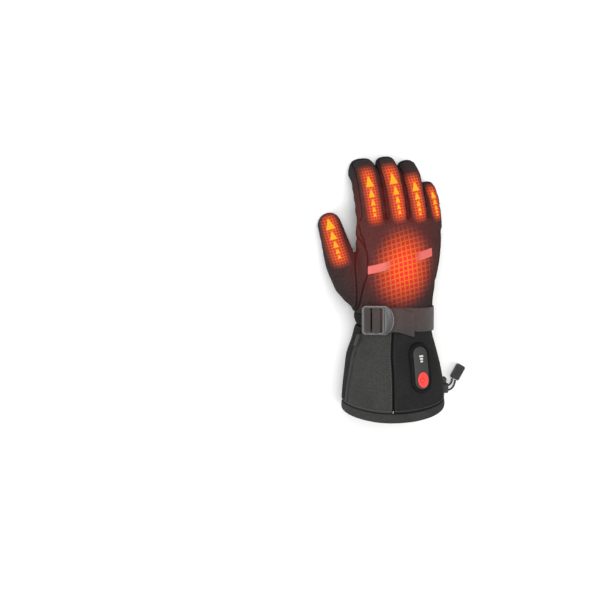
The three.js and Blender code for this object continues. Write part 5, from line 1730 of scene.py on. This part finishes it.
def addZip():
    start = wristSeamY - zipLine["start"]
    ys = np.linspace(start, cuffEndY + zipLine["endGap"], zipLine["rows"])
    v = np.linspace(-1, 1, 21)[None]
    coil = zipLine["coil"] * np.exp(-(v / 0.2) ** 2) * (0.6 + 0.4 * np.sin(ys * 4.2)[:, None])
    lips = zipLine["lips"] * np.exp(-((np.abs(v) - 0.62) / 0.22) ** 2)
    heights = 0.25 + coil + lips
    rings = zipRings(ys, zipLine["width"], clearance, heights)
    tone = np.concatenate([np.broadcast_to(np.exp(-(v / 0.3) ** 2), heights.shape), 0 * heights], 1)
    finish = Finish("blackZip", roughness=0.45, specular=0.5)
    teeth = finish.told("teeth")
    grain = finish.grain(1500, 2)
    finish.colour(finish.blend(teeth, grey(0.012), grey(0.004)))
    finish.rough(0.75 - teeth * 0.4)
    finish.bumps((grain * 0.1, 0.5))
    addLoft("zip_lips", rings, finish, ["zip_tape"], {"teeth": tone})
    count = zipLine["pullRows"]
    ys = np.linspace(start - 1, start - 1 - zipLine["pullLength"], count)
    v = np.linspace(-1, 1, 13)[None]
    share = np.linspace(-1, 1, count)[:, None]
    heights = zipLine["pull"] * (1 - 0.4 * np.abs(v) ** 8) * (1 - 0.3 * np.abs(share) ** 10)
    rings = zipRings(ys, zipLine["pullWidth"], 2 * clearance + zipLine["thickness"], heights)
    far = np.repeat(ys - ys[0], rings.shape[1])
    across = np.tile(np.r_[v[0], v[0][::-1]] * zipLine["pullWidth"] / 2, count)
    finish = webFinish("blackPullWebbing", grey(0.006), grey(0.016))
    addLoft("zip_pull_webbing", rings, finish, ["zip_pull"], {"along": far, "across": across})


# Drawcord's fittings at the hem: the sewn tab, the lock with its plunger, and the moulded end
fittings = {
    "tab": {"y": -133, "width": 7, "length": 13, "thickness": 2.6, "ahead": 2.5},
    "lock": {"size": (11, 13, 9), "at": (81, -137.5, 4.9), "spread": 6.4, "corner": 3, "bevel": 0.7},
    "plunger": {"radius": 4, "length": 8.6, "neck": 0.35, "sides": 40},
    "pull": {"size": (12.5, 20, 4.2), "at": (100.7, -117.5, 4.6), "turn": -30, "corner": 2.4, "bevel": 0.9,
             "bars": 5, "barReach": 5.4, "barSize": (8.8, 1.2, 0.8)},
}


def addCordTab():
    tab = fittings["tab"]
    across = np.linspace(-1, 1, 17)
    rings = []
    for share in np.linspace(-0.5, 0.5, 40):
        y = tab["y"] + share * tab["length"]
        section = sectionAt(y + tab["ahead"])
        section.update(y=y, bow=0)
        turns = cuffSeam["side"] * degrees + across * tab["width"] / 2 / (0.62 * section["half"])
        lift = clearance + hemBulge * hemWall
        high = tab["thickness"] * (1 - 0.5 * abs(2 * share) ** 8) * (1 - 0.4 * np.abs(across) ** 6)
        high = high - 0.35 * np.exp(-(((np.abs(across) - 0.78) / 0.1) ** 2))
        top, low = ringPoints(section, turns, lift + high), ringPoints(section, turns, lift)
        rings.append(np.vstack([top, low[::-1]]))
    told = {"seam": np.full(len(rings) * 34, 5.0)}
    addLoft("cord_tab_cloth", np.array(rings), finishes["front"], ["cord_tab"], told)


def addLock(finish):
    lock = fittings["lock"]
    long, wide, high = lock["size"]
    outline = roundedLoop(-wide / 2, -high / 2, wide / 2, high / 2, lock["corner"])
    radius = drawcord["diameter"] / 2 + clearance
    angles = np.linspace(0, 2 * math.pi, 24, endpoint=False)
    holes = [[(side * lock["spread"] / 2 + radius * math.cos(a), radius * math.sin(a)) for a in angles]
             for side in (-1, 1)]
    points, faces = extrudedShape("lockBody", outline, holes, long, lock["bevel"])
    points = points[:, [2, 0, 1]] - (long / 2, 0, 0) + np.array(lock["at"])
    body = addPiece("lock_body", points, faces, finish, ["cord_lock"])
    soften(body, 35)
    return body


def addPlunger(finish):
    lock, plunger = fittings["lock"], fittings["plunger"]
    radius, length = plunger["radius"], plunger["length"]
    neck = radius - plunger["neck"]
    rows = [(0, radius - 0.5), (0.25, radius), (1.2, radius), (1.5, neck), (1.9, neck), (2.2, radius)]
    rows += [(length - radius * (1 - math.sin(a)), radius * math.cos(a)) for a in np.linspace(0, 1.5, 14)]
    angles = 2 * math.pi * np.arange(plunger["sides"]) / plunger["sides"]
    start = np.array(lock["at"]) + (0, lock["size"][1] / 2 + clearance, 0)
    rings = np.array([[start + (r * math.cos(a), along, r * math.sin(a)) for a in angles]
                      for along, r in rows])
    offFloor(rings)
    cap = addLoft("plunger_cap", rings, finish, ["cord_plunger"])
    soften(cap, 45)
    return cap


def addPullTab(finish):
    pull = fittings["pull"]
    wide, long, high = pull["size"]
    outline = roundedLoop(-wide / 2, -long / 2, wide / 2, long / 2, pull["corner"])
    points, faces = extrudedShape("pullBody", outline, [], high, pull["bevel"])
    points[:, 2] -= high / 2
    barLong, barWide, barHigh = pull["barSize"]
    for row in np.linspace(-pull["barReach"], pull["barReach"], pull["bars"]):    # grip bars on both faces
        for up in (-1, 1):
            outline = roundedLoop(-barLong / 2, row - barWide / 2, barLong / 2, row + barWide / 2, 0.58, 4)
            bar, barFaces = extrudedShape("gripBar", outline, [], barHigh, 0.25)
            bar[:, 2] = up * (bar[:, 2] + high / 2 - 0.42)
            faces += [tuple(i + len(points) for i in (f if up > 0 else f[::-1])) for f in barFaces]
            points = np.vstack([points, bar])
    turn = pull["turn"] * degrees
    spin = np.array([[math.cos(turn), -math.sin(turn)], [math.sin(turn), math.cos(turn)]])
    points[:, :2] = points[:, :2] @ spin.T
    points = points + pull["at"]
    tab = addPiece("pull_tab_body", points, faces, finish, ["pull_tab"])
    soften(tab, 35)
    return tab


def addFittings():
    finish = plasticFinish("blackFittingPlastic", (0.011, 0.011, 0.0115), 0.36, 1100)
    return addLock(finish), addPlunger(finish), addPullTab(finish)


addKeeper()
addPanelPieces()
addRibbon()
addZip()
addCordTab()
lockPieces = addFittings()
print("small pieces fitted")


# Studio: a plain pale floor and three soft lights
studio = {
    "floor": 3.0, "air": 0.55, "aim": (0.01, 0, 0.03),
    "lights": [                                 # place in metres, size, watts, colour
        ("skyPanel", (-0.25, 0.5, 1.5), 1.5, 21, (1, 0.99, 0.98)),
        ("leftPanel", (-1.2, -0.35, 0.75), 0.9, 9, (0.97, 0.98, 1)),
        ("rightPanel", (1.15, -0.6, 0.9), 0.8, 7, (1, 0.98, 0.96)),
    ],
}


def addStudio():
    finish = Finish("paleFloor", roughness=0.85, specular=0.2)
    soft = finish.grain(6, 2)
    finish.colour(finish.blend(soft, grey(0.88), grey(0.92)))
    finish.bumps((finish.grain(400, 2) * 0.02, 0.2))
    reach = studio["floor"]
    mesh = bpy.data.meshes.new("paleFloor")
    corners = [(-reach, -reach, 0), (reach, -reach, 0), (reach, reach, 0), (-reach, reach, 0)]
    mesh.from_pydata(corners, [], [(0, 1, 2, 3)])
    mesh.materials.append(finish.material)
    floor = bpy.data.objects.new("paleFloor", mesh)
    scene.collection.objects.link(floor)
    for name, place, size, power, colour in studio["lights"]:
        lamp = bpy.data.lights.new(name, "AREA")
        lamp.shape = "DISK"
        lamp.size = size
        lamp.energy = power
        lamp.color = colour
        body = bpy.data.objects.new(name, lamp)
        body.location = place
        body.rotation_euler = (Vector(studio["aim"]) - Vector(place)).to_track_quat("-Z", "Y").to_euler()
        scene.collection.objects.link(body)
    world = bpy.data.worlds.new("studioAir")
    world.use_nodes = True
    world.node_tree.nodes["Background"].inputs["Color"].default_value = (1, 1, 1, 1)
    world.node_tree.nodes["Background"].inputs["Strength"].default_value = studio["air"]
    scene.world = world


addStudio()
print("studio lit")
